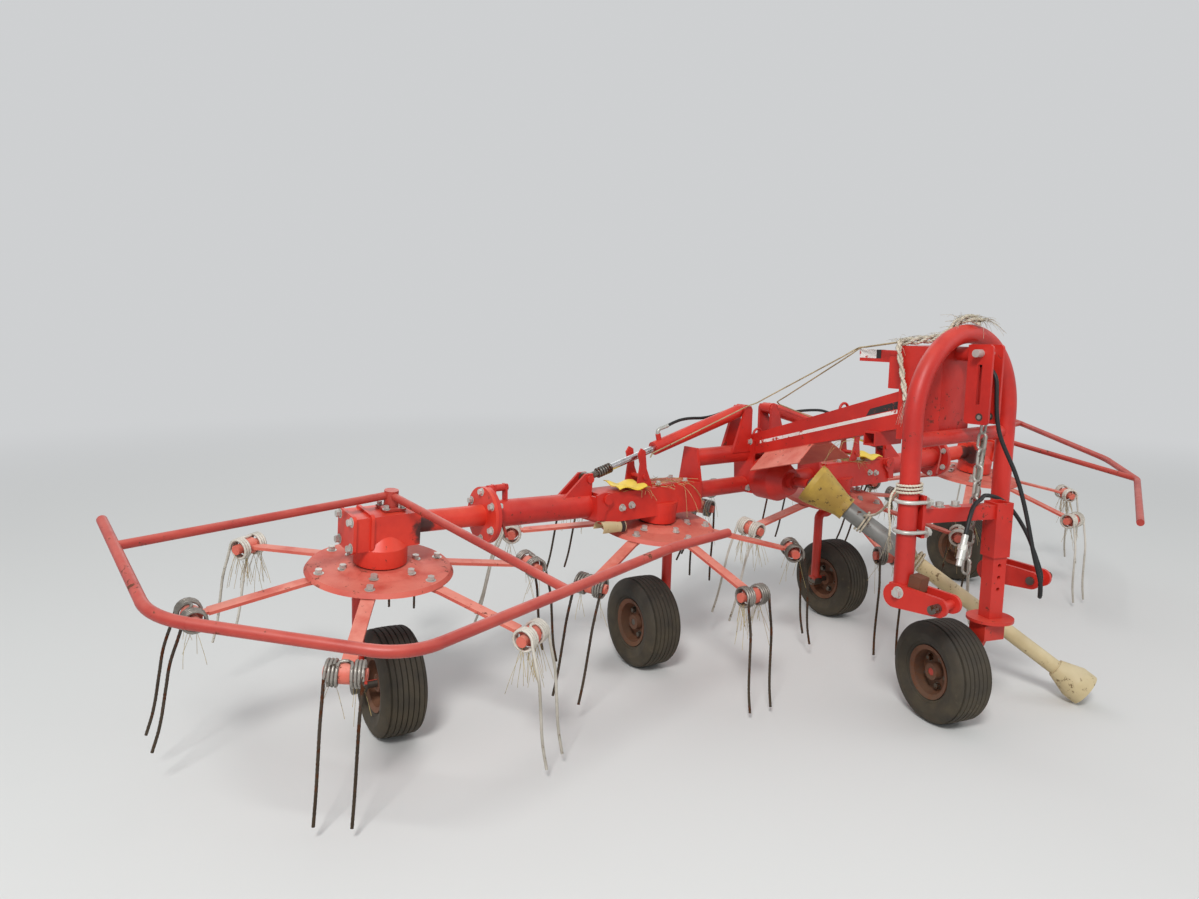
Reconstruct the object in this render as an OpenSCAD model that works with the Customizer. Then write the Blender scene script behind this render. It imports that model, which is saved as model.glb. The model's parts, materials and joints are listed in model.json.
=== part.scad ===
// Four-rotor mounted hay tedder, parked on its wheels, its support wheel and its drive shaft's end.
// +Z is up, -Y is the way it is driven, and -X is its right-hand side.

/* [Rotor row] */
// Distance from an outer rotor to the inner rotor beside it
outer_pitch = 1123; // [1100:1:1150]
// Distance between the two inner rotors
inner_pitch = 1040; // [1020:1:1060]
// Height of the middle of each rotor disc over the ground
disc_z = 560; // [556:1:575]
// Forward lean of the rotors in degrees
rake = 8; // [6:0.5:9]

/* [Rotor] */
// Diameter of the rotor disc
disc_d = 454; // [430:1:480]
// Thickness of the disc's sheet
disc_t = 5; // [4:0.5:7]
// Height of the raised middle of the disc
disc_crown = 12; // [8:1:16]
// Depth of the rolled rim of the disc
disc_rim = 14; // [8:1:20]
// Diameter of the hub under the disc
hub_d = 124; // [110:1:140]
// Height of the hub under the disc
hub_h = 48; // [40:1:55]
// Number of arms on a rotor
arm_count = 6; // [6:1:6]
// Distance from the rotor's axis to the spring at the arm's end
arm_reach = 548; // [520:1:560]
// Width of the flat bar of an arm
arm_w = 40; // [30:1:50]
// Thickness of the flat bar of an arm
arm_t = 10; // [8:1:14]
// How far the arm's end hangs below the disc
arm_drop = 75; // [60:1:90]

/* [Tines] */
// Diameter of the spring wire
wire_d = 9.5; // [8:0.5:11]
// Outer diameter of a spring coil
coil_d = 75; // [66:1:84]
// Turns in one coil
coil_turns = 4; // [3:1:5]
// Gap between the two coils of a pair
coil_gap = 30; // [26:1:40]
// Drop of the tine from the coil's axis to its tip
tine_drop = 372; // [340:1:374]
// How far the tip stands outside the coil's axis
tine_lean = 115; // [80:1:130]

/* [Wheels] */
// Outer diameter of a tyre
tyre_d = 345; // [330:1:352]
// Width of a tyre
tyre_w = 145; // [130:1:150]
// Diameter of the rim's bead
rim_d = 170; // [160:1:190]
// Diameter of a wheel's axle
axle_d = 25; // [20:1:30]
// Diameter of a wheel leg's tube
leg_d = 38; // [32:1:42]
// Distance from the rotor's axis to the leg beside the wheel
leg_side = 66; // [64:1:80]
// Sideways place of the wheel's middle from the rotor's axis
wheel_side = 37; // [35:1:45]
// Distance of the wheel's middle in front of the rotor's axis
wheel_lead = 42; // [30:1:50]
// Angle of the wheels as parked, toward the right-hand side
steer_rest = 6; // [0:1:10]

/* [Wings] */
// Distance from the middle of the machine to a fold pin
fold_x = 811; // [800:1:830]
// Height of a fold pin
fold_z = 692; // [680:1:700]
// Diameter of a fold pin
fold_pin_d = 24; // [20:1:28]
// Diameter of the wing's tube
wing_tube_d = 92; // [84:1:100]
// Diameter of the flange between the wing's tube and the outer gearbox
flange_d = 190; // [170:1:200]
// Thickness of each of the two flange plates
flange_t = 12; // [8:1:16]
// Distance from the outer rotor's axis to the flange joint
flange_x = 372; // [350:1:400]

/* [Gearboxes] */
// Depth of a gearbox housing from front to back
box_y = 124; // [110:1:140]
// Height of the inner gearbox housing
box_h = 108; // [100:1:116]
// Height of the inner housing's floor over the ground
box_floor = 602; // [596:1:610]
// Diameter of the cone under a gearbox
cone_d = 164; // [150:1:180]

/* [Frame] */
// Diameter of the upper cross tube
upper_tube_d = 70; // [60:1:80]
// Height of the upper cross tube
upper_tube_z = 796; // [780:1:810]
// Diameter of the lower cross tube
lower_tube_d = 66; // [56:1:76]
// Height of the lower cross tube
lower_tube_z = 666; // [655:1:680]
// Width of the main beam
beam_w = 100; // [80:1:120]
// Height of the main beam at the row
beam_h_back = 80; // [70:1:90]
// Height of the main beam at the mast
beam_h_front = 132; // [120:1:150]
// Rise of the beam's underside from the row to the mast
beam_rise = 200; // [180:1:220]
// Width of the mast
mast_w = 170; // [150:1:190]
// Depth of the mast from front to back
mast_y = 160; // [140:1:180]
// Height of the mast's top over the ground
mast_top = 1256; // [1240:1:1262]

/* [Headstock] */
// Distance of the headstock in front of the rotor row
head_y = 930; // [910:1:950]
// Distance between the middles of the arch's legs
arch_span = 540; // [520:1:560]
// Diameter of the arch's tube
arch_d = 62; // [56:1:68]
// Height of the arch's middle at its top
arch_top = 1300; // [1296:1:1320]
// Height of the feet of the arch's legs
arch_foot = 490; // [480:1:510]
// Diameter of the headstock's cross tube
head_tube_d = 48; // [42:1:56]
// Height of the headstock's cross tube
head_tube_z = 964; // [950:1:975]
// Diameter of a lower hitch pin
hitch_pin_d = 28; // [22:0.5:36.6]
// Free length of a lower hitch pin
hitch_pin_l = 60; // [45:1:80]
// Diameter of the top link's pin
top_pin_d = 25; // [19:0.5:31.75]
// Clear width between the top link's plates
top_gap = 50; // [44:1:60]

/* [Drive shaft] */
// Diameter of the outer guard tube
shaft_outer_d = 68; // [60:1:76]
// Diameter of the inner guard tube
shaft_inner_d = 54; // [46:1:58]
// Largest diameter of the yellow guard cone
shaft_cone_d = 160; // [140:1:170]

/* [Support wheel] */
// Width of the square tube of the support arm
support_tube = 46; // [40:1:52]
// Width of the square sleeve
sleeve_w = 64; // [60:1:70]
// Width of the square post in the sleeve
post_w = 52; // [46:1:54]

/* [Fold rams] */
// Diameter of a ram's barrel
ram_d = 52; // [46:1:60]
// Diameter of a ram's rod
ram_rod_d = 25; // [20:1:30]
// Diameter of the pin at the barrel's base
ram_pin_d = 20; // [16:1:24]

/* [Guards] */
// Diameter of the guard's tube
guard_d = 27; // [24:1:32]
// Height of the guard over the middle of the row
guard_z = 785; // [780:1:800]

/* [Seats] */
// Clearance between pieces that seat on each other
seat = 0.3; // [0.2:0.05:0.4]
// Clearance round a turning pin
pin_play = 0.5; // [0.3:0.1:0.8]

/* [Hidden] */
$fn = 36;

// Where the middle of the rotor row stands in the part's frame
row_x = 88.6;
row_y = 247.6;

paint = "#c8322a";
faded = "#cf5a4e";
zinc = "#c9c6bd";
steel = "#8e8f90";
tine_steel = "#3a3634";
tyre_black = "#232323";
rim_rust = "#6f4a35";
guard_yellow = "#b9a447";
guard_cream = "#d8cfa0";

// Rotors from the right-hand end of the row: X place, side of the leg, angle of the first arm
rotor_x = [-inner_pitch / 2 - outer_pitch, -inner_pitch / 2, inner_pitch / 2, inner_pitch / 2 + outer_pitch];
leg_hand = [-1, 1, -1, 1];
first_arm = [-2, 28, 4, 30];

tread_half = tyre_w * 0.15;
hub_leg_gap = 9;
hub_foot = -disc_t - hub_h;
leg_bore_d = leg_d + 2 * pin_play;
stay_d = guard_d - 3;
coil_r = (coil_d - wire_d) / 2;
coil_w = coil_turns * wire_d;
wing_x = inner_pitch / 2 + outer_pitch;

// How far a tube's straights reach into its bends, and how much thicker a bend is
bend_lap = 2;
bend_swell = 0.8;

// Gearbox over a disc: gap under the cone, height of its band and of its slope
run_gap = 5;
cone_base = disc_crown + run_gap;
cone_band = 56;
cone_rise = 66;
outer_box_l = 210;
outer_box_h = 106;
outer_box_z = disc_z + cone_base + cone_band + outer_box_h / 2;
stub_d = 70;

// Fold hinge: reach of the cheeks, reach of the housing past the pin, plates and their play
hinge_reach = 36;
box_nose = 22;
cheek_t = 10;
cheek_play = 1;
cheek_y = box_y / 2 + cheek_play;
box_top = box_floor + box_h;
wing_root = [-(fold_x + hinge_reach), 0, fold_z - 28];
wing_dir = unit([-wing_x, 0, outer_box_z] - wing_root);
flange_meet = wing_root + wing_dir * (wing_x - flange_x - fold_x - hinge_reach) / -wing_dir[0];

// Fold ram in the plane of the row: its eye and its base pin as distance and height
ram_eye = [857, 762];
ram_base = [76, 974];
ram_eye_w = 30;
ram_base_w = 50;
ram_ear = ram_pin_d + 22;
ram_barrel_l = 484;
lug_t = 10;
lug_play = 0.8;
ram_dir = unit([-(ram_eye[0] - ram_base[0]), 0, ram_eye[1] - ram_base[1]]);
ram_l = norm([ram_eye[0] - ram_base[0], ram_eye[1] - ram_base[1]]);

// Cross frame: half its length, its plates, and the beam that rides on the upper tube
frame_half = 345;
plate_t = 10;
tie_t = 12;
tie_front = 56;
beam_back = 30;
beam_foot_z = upper_tube_z - 21;

// Headstock
mast_front = head_y - arch_d / 2 - seat;
leg_x = arch_span / 2;
arch_bend_z = arch_top - leg_x;
hitch_plate_t = 12;
hitch_reach = 155;
hitch_pin_z = 472;
hitch_pin_out = 36;
top_pin = [70, arch_top - 60];
top_hole = [90, top_pin[1] - 204];
top_pin_out = 32;
chain_lean = [4.6, -3];
top_plate_t = 10;
top_plate_y = [25, 110];

// Hydraulic hose: its fitting, and the route of its middle over the support arm
hose_d = 14;
gland_d = 22;
gland_reach = 11;
hose_path = [
  [0, -976, 1202], [0, -1001, 1198], [0, -1020, 1186], [1, -1033, 1168], [2, -1039, 1145], [5, -1041, 1096],
  [9, -1044, 1044], [18, -1050, 992], [30, -1060, 951], [42, -1075, 910], [54, -1091, 868], [64, -1106, 822],
  [72, -1119, 774], [80, -1131, 722], [86, -1142, 671], [92, -1152, 622], [99, -1162, 576], [107, -1171, 538],
  [114, -1177, 503], [127, -1173, 469], [153, -1159, 448], [184, -1143, 448], [210, -1129, 470], [220, -1123, 504],
  [213, -1111, 546], [206, -1096, 588], [198, -1080, 629], [189, -1061, 666], [177, -1041, 700], [159, -1020, 732],
  [133, -1001, 753], [101, -990, 763], [67, -990, 767], [36, -1001, 767], [9, -1012, 765], [-36, -1024, 761],
  [-79, -1038, 752], [-106, -1047, 731], [-124, -1051, 703], [-138, -1054, 672]
];

// Drive shaft: the joint at the gearbox and the middle of its far end
input_z = 706;
input_y = 330;
shaft_foot = [492, -1178, 52];
shaft_dir = unit(shaft_foot - [0, -input_y, input_z]);
shaft_l = norm(shaft_foot - [0, -input_y, input_z]);
casing_r = 84;
casing_l = 150;
cone_l = 150;
cone_wall = 4;
outer_from = 110;
joint_r = 30;
outer_to = 430;
inner_from = 345;
end_cone_d = 120;
end_cone_l = 120;
yoke_d = 64;
yoke_bore_d = 35;
yoke_l = 60;
yoke_in = 14;

// Support wheel: the pivot's place, and where the wheel runs beside and behind it
pivot = [60, -1045];
caster_angle = -16.5;
caster_side = -132;
caster_trail = 60;
fork_t = 14;
fork_gap = 8;
arm_z = 727;
sleeve_z = [575, 757];
king_d = 30;
king_l = 60;
swivel_t = 10;
swivel_z = tyre_d + 12;

module machine() {
  translate([row_x, row_y, 0]) children();
}

// The frame of a rotor: its axis is Z and the disc's middle is the origin
module at_rotor(n) {
  machine() translate([rotor_x[n], 0, disc_z]) rotate([rake, 0, 0]) children();
}

// A mirrored half of the machine: hand 1 is the right-hand side, -X
module on_side(hand) {
  if (hand > 0) machine() children();
  else machine() mirror([1, 0, 0]) children();
}

// A round bar between two points
module bar(a, b, d) {
  v = b - a;
  l = norm(v);
  translate(a) rotate([0, acos(v[2] / l), atan2(v[1], v[0])]) cylinder(d = d, h = l);
}

function unit(v) = v / norm(v);

// A quarter bend or any other: turns from direction u to direction w at corner p, with radius r
module bend(p, u, w, r, d) {
  angle = acos(max(-1, min(1, u * w)));
  reach = r * tan(angle / 2);
  start = p - u * reach;
  side = unit(w - u * (u * w));
  up = cross(side, u);
  middle = start + side * r;
  m = [[-side[0], u[0], -up[0], middle[0]],
       [-side[1], u[1], -up[1], middle[1]],
       [-side[2], u[2], -up[2], middle[2]],
       [0, 0, 0, 1]];
  multmatrix(m) rotate_extrude(angle = angle) translate([r, 0]) circle(d = d);
}

// A tube along points, with a bend of radius r at each inner point; the straights lap into the
// bends, which are a little thicker
module tube_run(points, r, d) {
  last = len(points) - 1;
  dirs = [for (i = [0:last - 1]) unit(points[i + 1] - points[i])];
  cut = [for (i = [0:last]) (i == 0 || i == last) ? 0
         : r[i] * tan(acos(max(-1, min(1, dirs[i - 1] * dirs[i]))) / 2) - bend_lap];
  for (i = [0:last - 1]) bar(points[i] + dirs[i] * cut[i], points[i + 1] - dirs[i] * cut[i + 1], d);
  for (i = [1:last - 1]) bend(points[i], dirs[i - 1], dirs[i], r[i], d + bend_swell);
}

// Lays a flat outline drawn in X-Z upright, its thickness along Y from y0 to y0 + t
module upright(y0, t) {
  translate([0, y0 + t, 0]) rotate([90, 0, 0]) linear_extrude(t) children();
}

// Lays a flat outline drawn in Y-Z upright, its thickness along X from x0 to x0 + t
module sideways(x0, t) {
  translate([x0, 0, 0]) rotate([90, 0, 90]) linear_extrude(t) children();
}

// Rotors
module rotor(n) {
  rim_r = disc_d / 2;
  at_rotor(n) color(faded) {
    difference() {
      union() {
        rotate_extrude($fn = 72) polygon([
          [0, disc_crown - disc_t], [rim_r * 0.42, disc_crown - disc_t], [rim_r * 0.56, -disc_t],
          [rim_r - 14, -disc_t], [rim_r - disc_t, -disc_rim], [rim_r, -disc_rim],
          [rim_r - 10, 0], [rim_r * 0.58, 0], [rim_r * 0.44, disc_crown], [0, disc_crown]
        ]);
        translate([0, 0, hub_foot]) cylinder(d = hub_d, h = hub_h + disc_crown + 1);
        for (i = [0:arm_count - 1]) rotate(first_arm[n] + i * 360 / arm_count) arm();
      }
      translate([0, 0, hub_foot - 1]) cylinder(d = leg_bore_d, h = hub_h + disc_crown + disc_t + 2);
    }
  }
}

// One arm lies along +X, narrows before its springs, and ends in the boss that carries them
module arm() {
  foot = hub_d / 2 - 4;
  knee = disc_d / 2 + 6;
  neck = arm_reach - coil_d / 2 - 6;
  under = -disc_t - disc_rim + 2;
  slope = (arm_t / 2 - arm_drop - under) / (arm_reach - knee);
  arm_bar(arm_w) polygon([
    [foot, 1 - disc_t], [disc_d / 2 - 18, 1 - disc_t], [disc_d / 2 - 12, under], [knee, under],
    [neck, under + (neck - knee) * slope], [neck, under + (neck - knee) * slope - arm_t],
    [knee, under - arm_t], [foot, -disc_t - arm_t]
  ]);
  arm_bar(coil_gap - 2 * seat - 2) polygon([
    [neck - 2, under + (neck - 2 - knee) * slope - 0.5], [arm_reach, -arm_drop + arm_t / 2 - 0.5],
    [arm_reach, -arm_drop - arm_t / 2 + 0.5], [neck - 2, under + (neck - 2 - knee) * slope - arm_t + 0.5]
  ]);
  translate([arm_reach, 0, -arm_drop]) rotate([90, 0, 0]) {
    cylinder(d = 2 * coil_r - wire_d - 2 * seat, h = coil_gap - 2 * seat, center = true);
    cylinder(d = coil_r, h = coil_gap + 2 * coil_w + 6, center = true);
  }
}

// A flat bar of width w whose outline is drawn in X-Z
module arm_bar(w) {
  upright(-w / 2, w) children();
}

// Spring tines of one rotor, six pairs that each sit on an arm's boss
module tines(n) {
  at_rotor(n) for (i = [0:arm_count - 1]) rotate(first_arm[n] + i * 360 / arm_count)
    translate([arm_reach, 0, -arm_drop]) tine_pair();
}

module tine_pair() {
  leg_y = coil_gap / 2 + coil_w - wire_d / 2;
  knee = [coil_r + 0.30 * tine_lean, -0.32 * tine_drop];
  tip = [tine_lean, -tine_drop];
  color(zinc) {
    for (hand = [-1, 1]) translate([0, hand * (coil_gap / 2 + coil_w / 2), 0]) rotate([90, 0, 0]) coil();
    translate([0, 0, coil_r]) rotate([90, 0, 0])
      cylinder(d = wire_d - 1, h = coil_gap + wire_d, center = true, $fn = 16);
  }
  color(tine_steel) for (y = [-leg_y, leg_y])
    tube_run([[coil_r + 2, y, 6], [knee[0], y, knee[1]], [tip[0], y, tip[1]]], [0, 40, 0], wire_d, $fn = 14);
}

// A closely wound coil about Z: its outline shows each turn of the wire
module coil() {
  translate([0, 0, -coil_w / 2]) rotate_extrude($fn = 32) union() {
    for (i = [0:coil_turns - 1]) translate([coil_r, (i + 0.5) * wire_d]) circle(d = wire_d, $fn = 14);
    translate([coil_r - wire_d * 0.3, wire_d / 2]) square([wire_d * 0.6, coil_w - wire_d]);
  }
}

// Wheel legs: a stub up through the hub, a bend to the side, then straight down to the axle
// The wheel's middle in the rotor's frame, at the height that sets the tread on the ground
function wheel_place(n) =
  let (x = -leg_hand[n] * wheel_side, y = -wheel_lead,
       turned_y = y * cos(steer_rest) - x * sin(steer_rest),
       cant = asin(sin(steer_rest) * sin(rake)),
       high = tyre_d / 2 * cos(cant) + tread_half * sin(cant))
  [x, y, (high - disc_z - sin(rake) * turned_y) / cos(rake)];

module leg(n) {
  hub = wheel_place(n);
  knee_h = hub_foot - leg_d / 2 - hub_leg_gap;
  axle_end = wheel_side + tyre_w * 0.3;
  at_rotor(n) rotate(-steer_rest) mirror([leg_hand[n] > 0 ? 1 : 0, 0, 0]) color(paint) {
    tube_run([[0, 0, disc_crown + run_gap - seat], [0, 0, knee_h], [-leg_side, 0, knee_h],
              [-leg_side, hub[1], hub[2]]], [0, leg_d * 0.7, leg_d * 0.7, 0], leg_d);
    translate([-leg_side, hub[1], hub[2]]) rotate([0, 90, 0]) cylinder(d = leg_d + 8, h = leg_d + 6, center = true);
    translate([-leg_side, hub[1], hub[2]]) rotate([0, 90, 0]) cylinder(d = axle_d, h = leg_side + axle_end);
  }
}

// A wheel's own frame has its axle along Z and its middle at the origin
module at_wheel(n) {
  at_rotor(n) rotate(-steer_rest) translate(wheel_place(n)) rotate([0, 90, 0]) children();
}

module rim() {
  hub_w = tyre_w * 0.62;
  color(rim_rust) difference() {
    rotate_extrude($fn = 48) polygon([
      [0, -hub_w / 2], [28, -hub_w / 2], [30, -18], [rim_d / 2 - 14, -14],
      [rim_d / 2 - 10, -tyre_w * 0.36], [rim_d / 2 + 6, -tyre_w * 0.40], [rim_d / 2 + 6, -tyre_w * 0.36],
      [rim_d / 2 - seat, -tyre_w * 0.34], [rim_d / 2 - seat, tyre_w * 0.34],
      [rim_d / 2 + 6, tyre_w * 0.36], [rim_d / 2 + 6, tyre_w * 0.40], [rim_d / 2 - 10, tyre_w * 0.36],
      [rim_d / 2 - 14, -6], [30, -10], [28, hub_w / 2], [0, hub_w / 2]
    ]);
    cylinder(d = axle_d + 2 * pin_play, h = 2 * tyre_w, center = true);
  }
}

module tyre() {
  w = tyre_w / 2;
  r = tyre_d / 2;
  bead = rim_d / 2;
  color(tyre_black) rotate_extrude($fn = 48) polygon([
    [bead, -w * 0.66], [bead + 8, -w * 0.70], [bead + 22, -w * 0.92], [bead + (r - bead) * 0.55, -w],
    [r - 12, -w * 0.90], [r - 3, -w * 0.62], [r, -w * 0.3], [r, w * 0.3], [r - 3, w * 0.62],
    [r - 12, w * 0.90], [bead + (r - bead) * 0.55, w], [bead + 22, w * 0.92], [bead + 8, w * 0.70], [bead, w * 0.66]
  ]);
}

// The wing: its tube and flange, the cheeks of the fold hinge and the lug for the ram
module wing_arm(hand) {
  on_side(hand) color(paint) difference() {
    union() {
      bar(wing_root, flange_meet - wing_dir * seat / 2, wing_tube_d);
      bar(flange_meet - wing_dir * (flange_t + seat / 2), flange_meet - wing_dir * seat / 2, flange_d);
      translate(wing_root + [-cheek_t, -cheek_y - cheek_t, -wing_tube_d / 2])
        cube([cheek_t, 2 * (cheek_y + cheek_t), wing_tube_d - 8]);
      for (side = [-1, 1]) hinge_cheek(side * (cheek_y + cheek_t / 2));
      for (side = [-1, 1]) ram_lug(side);
      lock_pin();
    }
    translate([-fold_x, 0, fold_z]) rotate([90, 0, 0])
      cylinder(d = fold_pin_d + 2 * pin_play, h = 2 * (cheek_y + cheek_t) + 2, center = true);
  }
}

// A hinge cheek runs from the tube's end plate to the fold pin
module hinge_cheek(y) {
  low = wing_root[2] - wing_tube_d / 2;
  back = wing_root[0] - cheek_t;
  upright(y - cheek_t / 2, cheek_t) polygon([
    [back, low], [back, fold_z + 18], [-(fold_x + 12), fold_z + 26], [-(fold_x - 16), fold_z + 20],
    [-(fold_x - 24), fold_z], [-(fold_x - 16), fold_z - 22], [-(fold_x + 6), fold_z - 44], [-(fold_x + 14), low]
  ]);
}

// One of the two plates that hold the ram's eye, with the head of its bolt
module ram_lug(side) {
  inside = ram_eye_w / 2 + lug_play;
  foot = wing_root[2] + wing_tube_d / 2 - 8;
  upright(side > 0 ? inside : -inside - lug_t, lug_t) polygon([
    [-(ram_eye[0] + 112), foot], [-(ram_eye[0] + 18), ram_eye[1] + 20],
    [-(ram_eye[0] - 14), ram_eye[1] + 20], [wing_root[0] - 1, foot]
  ]);
  translate([-ram_eye[0], side * (inside + lug_t + 4), ram_eye[1]]) rotate([90, 0, 0])
    cylinder(d = ram_pin_d + 8, h = 8, center = true);
}

// The spring pin on top of the flange that locks the outer gearbox's lean
module lock_pin() {
  high = flange_d / 2 - 8;
  root = flange_meet - wing_dir * flange_t;
  for (along = [18, 62]) translate(root + [along, -12, wing_tube_d / 2 - 6])
    cube([8, 24, high - wing_tube_d / 2 + 18]);
  translate(root + [-2, 0, high]) rotate([0, 90, 0]) cylinder(d = 24, h = 76);
}

// The outer gearbox: flange, stub tube, casting and its cone over the disc
module gearbox_outer(hand) {
  on_side(hand) color(paint) {
    bar(flange_meet + wing_dir * seat / 2, flange_meet + wing_dir * (seat / 2 + flange_t), flange_d);
    bar(flange_meet + wing_dir * seat / 2, [-wing_x, 0, outer_box_z], stub_d);
    translate([-wing_x, 0, disc_z]) rotate([rake, 0, 0]) {
      cone_foot(cone_d, cone_rise);
      translate([-outer_box_l / 2, -box_y / 2 + 8, cone_base + cone_band])
        cube([outer_box_l, box_y - 16, outer_box_h]);
      sideways(-outer_box_l / 2 - plate_t, plate_t) translate([-box_y / 2, cone_base + cone_band - 4])
        rounded([box_y, outer_box_h + 12], 14);
      sideways(-outer_box_l / 2 + 46, plate_t) translate([-box_y / 2, cone_base + cone_band - 4])
        rounded([box_y, outer_box_h + 12], 14);
    }
  }
}

// A rectangle with round corners, drawn from its lower left
module rounded(size, r) {
  hull() for (x = [r, size[0] - r], y = [r, size[1] - r]) translate([x, y]) circle(r = r, $fn = 32);
}

// The band and cone between a gearbox and its disc, in the rotor's frame
module cone_foot(d, rise) {
  translate([0, 0, cone_base]) cylinder(d = d, h = cone_band);
  translate([0, 0, cone_base + cone_band]) cylinder(d1 = d, d2 = d * 0.4, h = rise);
}

// The inner gearbox: a housing from the cross frame to the fold pins, over the inner rotor
module gearbox_inner(hand) {
  inner_end = frame_half + plate_t + seat;
  l = fold_x + box_nose - inner_end;
  on_side(hand) color(paint) {
    translate([-inner_end - l, -box_y / 2, box_floor]) cube([l, box_y, box_h]);
    translate([-inner_pitch / 2, 0, disc_z]) rotate([rake, 0, 0])
      translate([0, 0, cone_base]) cylinder(d = cone_d - 20, h = box_floor - disc_z + box_h / 2 - cone_base);
    for (side = [-1, 1]) {
      start = side > 0 ? box_y / 2 - 1 : -cheek_y - cheek_t - 8;
      translate([-fold_x, start, fold_z]) rotate([-90, 0, 0])
        cylinder(d = fold_pin_d, h = cheek_play + cheek_t + 9);
      head = side > 0 ? cheek_y + cheek_t + 1 : -cheek_y - cheek_t - 9;
      translate([-fold_x, head, fold_z]) rotate([-90, 0, 0]) cylinder(d = fold_pin_d + 14, h = 8);
    }
    translate([-inner_pitch / 2 - 30, -box_y / 2 + 6, box_top - 1]) cube([150, box_y - 12, 9]);
  }
}

// Two plates that stand on the inner gearbox and catch the wing's ram, with their cross pin
module latch(hand) {
  x = inner_pitch / 2 + 96;
  plate_y = ram_d / 2 + 6;
  on_side(hand) color(paint) {
    for (side = [-1, 1]) upright(side > 0 ? plate_y : -plate_y - 8, 8) polygon([
      [-x - 34, box_top + seat], [-x - 20, box_top + 90], [-x - 30, box_top + 128], [-x - 16, box_top + 148],
      [-x + 2, box_top + 138], [-x + 10, box_top + 70], [-x + 40, box_top + seat]
    ]);
    translate([-x, 0, box_top + 40]) rotate([90, 0, 0]) cylinder(d = 18, h = 2 * (plate_y - seat), center = true);
    for (side = [-1, 1]) translate([-x, side * (plate_y + 10), box_top + 40]) rotate([90, 0, 0])
      cylinder(d = 18, h = 6, center = true);
  }
}

// Fold ram: the barrel turns on its base pin, the rod slides in it
module along_ram(hand) {
  on_side(hand) translate([-ram_base[0], 0, ram_base[1]])
    rotate([0, -acos(ram_dir[2]), 0]) children();
}

module ram_barrel(hand) {
  along_ram(hand) color(paint) difference() {
    union() {
      rotate([90, 0, 0]) cylinder(d = ram_ear, h = ram_base_w, center = true);
      cylinder(d = ram_d - 8, h = 40);
      translate([0, 0, 26]) cylinder(d = ram_d, h = ram_barrel_l - 26);
      translate([ram_d / 2 - 4, 0, ram_barrel_l - 34]) rotate([0, 90, 0]) cylinder(d = 20, h = 26);
    }
    rotate([90, 0, 0]) cylinder(d = ram_pin_d + 2 * pin_play, h = ram_base_w + 2, center = true);
    translate([0, 0, 30]) cylinder(d = ram_rod_d + 2 * pin_play, h = ram_barrel_l);
  }
}

module ram_rod(hand) {
  spring_pitch = 11;
  along_ram(hand) color(steel) {
    translate([0, 0, 150]) cylinder(d = ram_rod_d, h = ram_l - 150);
    translate([0, 0, ram_l]) rotate([90, 0, 0]) cylinder(d = ram_ear, h = ram_eye_w, center = true);
    for (i = [0:5]) translate([0, 0, ram_l - 110 + i * spring_pitch]) rotate_extrude()
      translate([ram_rod_d / 2 + 2, 0]) circle(d = spring_pitch - 2, $fn = 16);
  }
}

// The bow and two stays of a guard lie in a plane that leans as the rotors do
function leaned(p) = [p[0], p[1], guard_z + p[1] * tan(rake)];

module guard(hand, bow, bends, feet) {
  hub = [-wing_x + 30, -20];
  on_side(hand) color(faded) {
    tube_run([for (p = bow) leaned(p)], bends, guard_d);
    for (foot = feet) bar(leaned(hub), leaned(foot), stay_d);
    translate([hub[0], 0, outer_box_z + outer_box_h / 2 / cos(rake) + hub[1] * tan(rake) + seat + 3])
      translate([0, hub[1], 0]) rotate([rake, 0, 0]) guard_foot();
  }
}

// The foot under the stays' meeting point, seated on the outer gearbox's top
module guard_foot() {
  rise = guard_z - outer_box_z - outer_box_h / 2 - 3;
  translate([-35, -35, 0]) cube([70, 70, 8]);
  cylinder(d = 44, h = rise + stay_d / 2 + 4);
}

// Cross frame: two tubes with end plates, ties at the beam and the brackets for the rams
module cross_frame() {
  machine() color(paint) {
    for (tube = [[upper_tube_z, upper_tube_d], [lower_tube_z, lower_tube_d]])
      translate([-frame_half, 0, tube[0]]) rotate([0, 90, 0]) cylinder(d = tube[1], h = 2 * frame_half);
    for (hand = [-1, 1]) {
      sideways(hand > 0 ? frame_half : -frame_half - plate_t, plate_t) polygon([
        [-box_y / 2, box_floor + 4], [box_y / 2, box_floor + 4], [box_y / 2, box_top],
        [36, upper_tube_z + upper_tube_d / 2 + 8], [-36, upper_tube_z + upper_tube_d / 2 + 8], [-box_y / 2, box_top]
      ]);
      sideways(hand > 0 ? beam_w / 2 + seat : -beam_w / 2 - seat - tie_t, tie_t) polygon([
        [-tie_front, lower_tube_z - 30], [44, lower_tube_z - 30], [tie_front, upper_tube_z + 58],
        [-tie_front, upper_tube_z + 58]
      ]);
      for (side = [-1, 1]) ram_bracket(hand, side);
      translate([hand * ram_base[0], 0, ram_base[1]]) rotate([90, 0, 0])
        cylinder(d = ram_pin_d, h = ram_base_w + 2 + 2 * tie_t, center = true);
    }
  }
}

// One of the two plates that rise from the upper tube to a ram's base pin
module ram_bracket(hand, side) {
  inside = ram_base_w / 2 + 1;
  mirror([hand > 0 ? 0 : 1, 0, 0]) upright(side > 0 ? inside : -inside - tie_t, tie_t) polygon([
    [ram_base[0] - 20, upper_tube_z + 10], [ram_base[0] + 84, upper_tube_z + 10],
    [ram_base[0] + 18, ram_base[1] + 4], [ram_base[0] + 10, ram_base[1] + 16], [ram_base[0] - 12, ram_base[1] + 16],
    [ram_base[0] - 20, ram_base[1] + 2]
  ]);
}

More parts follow.
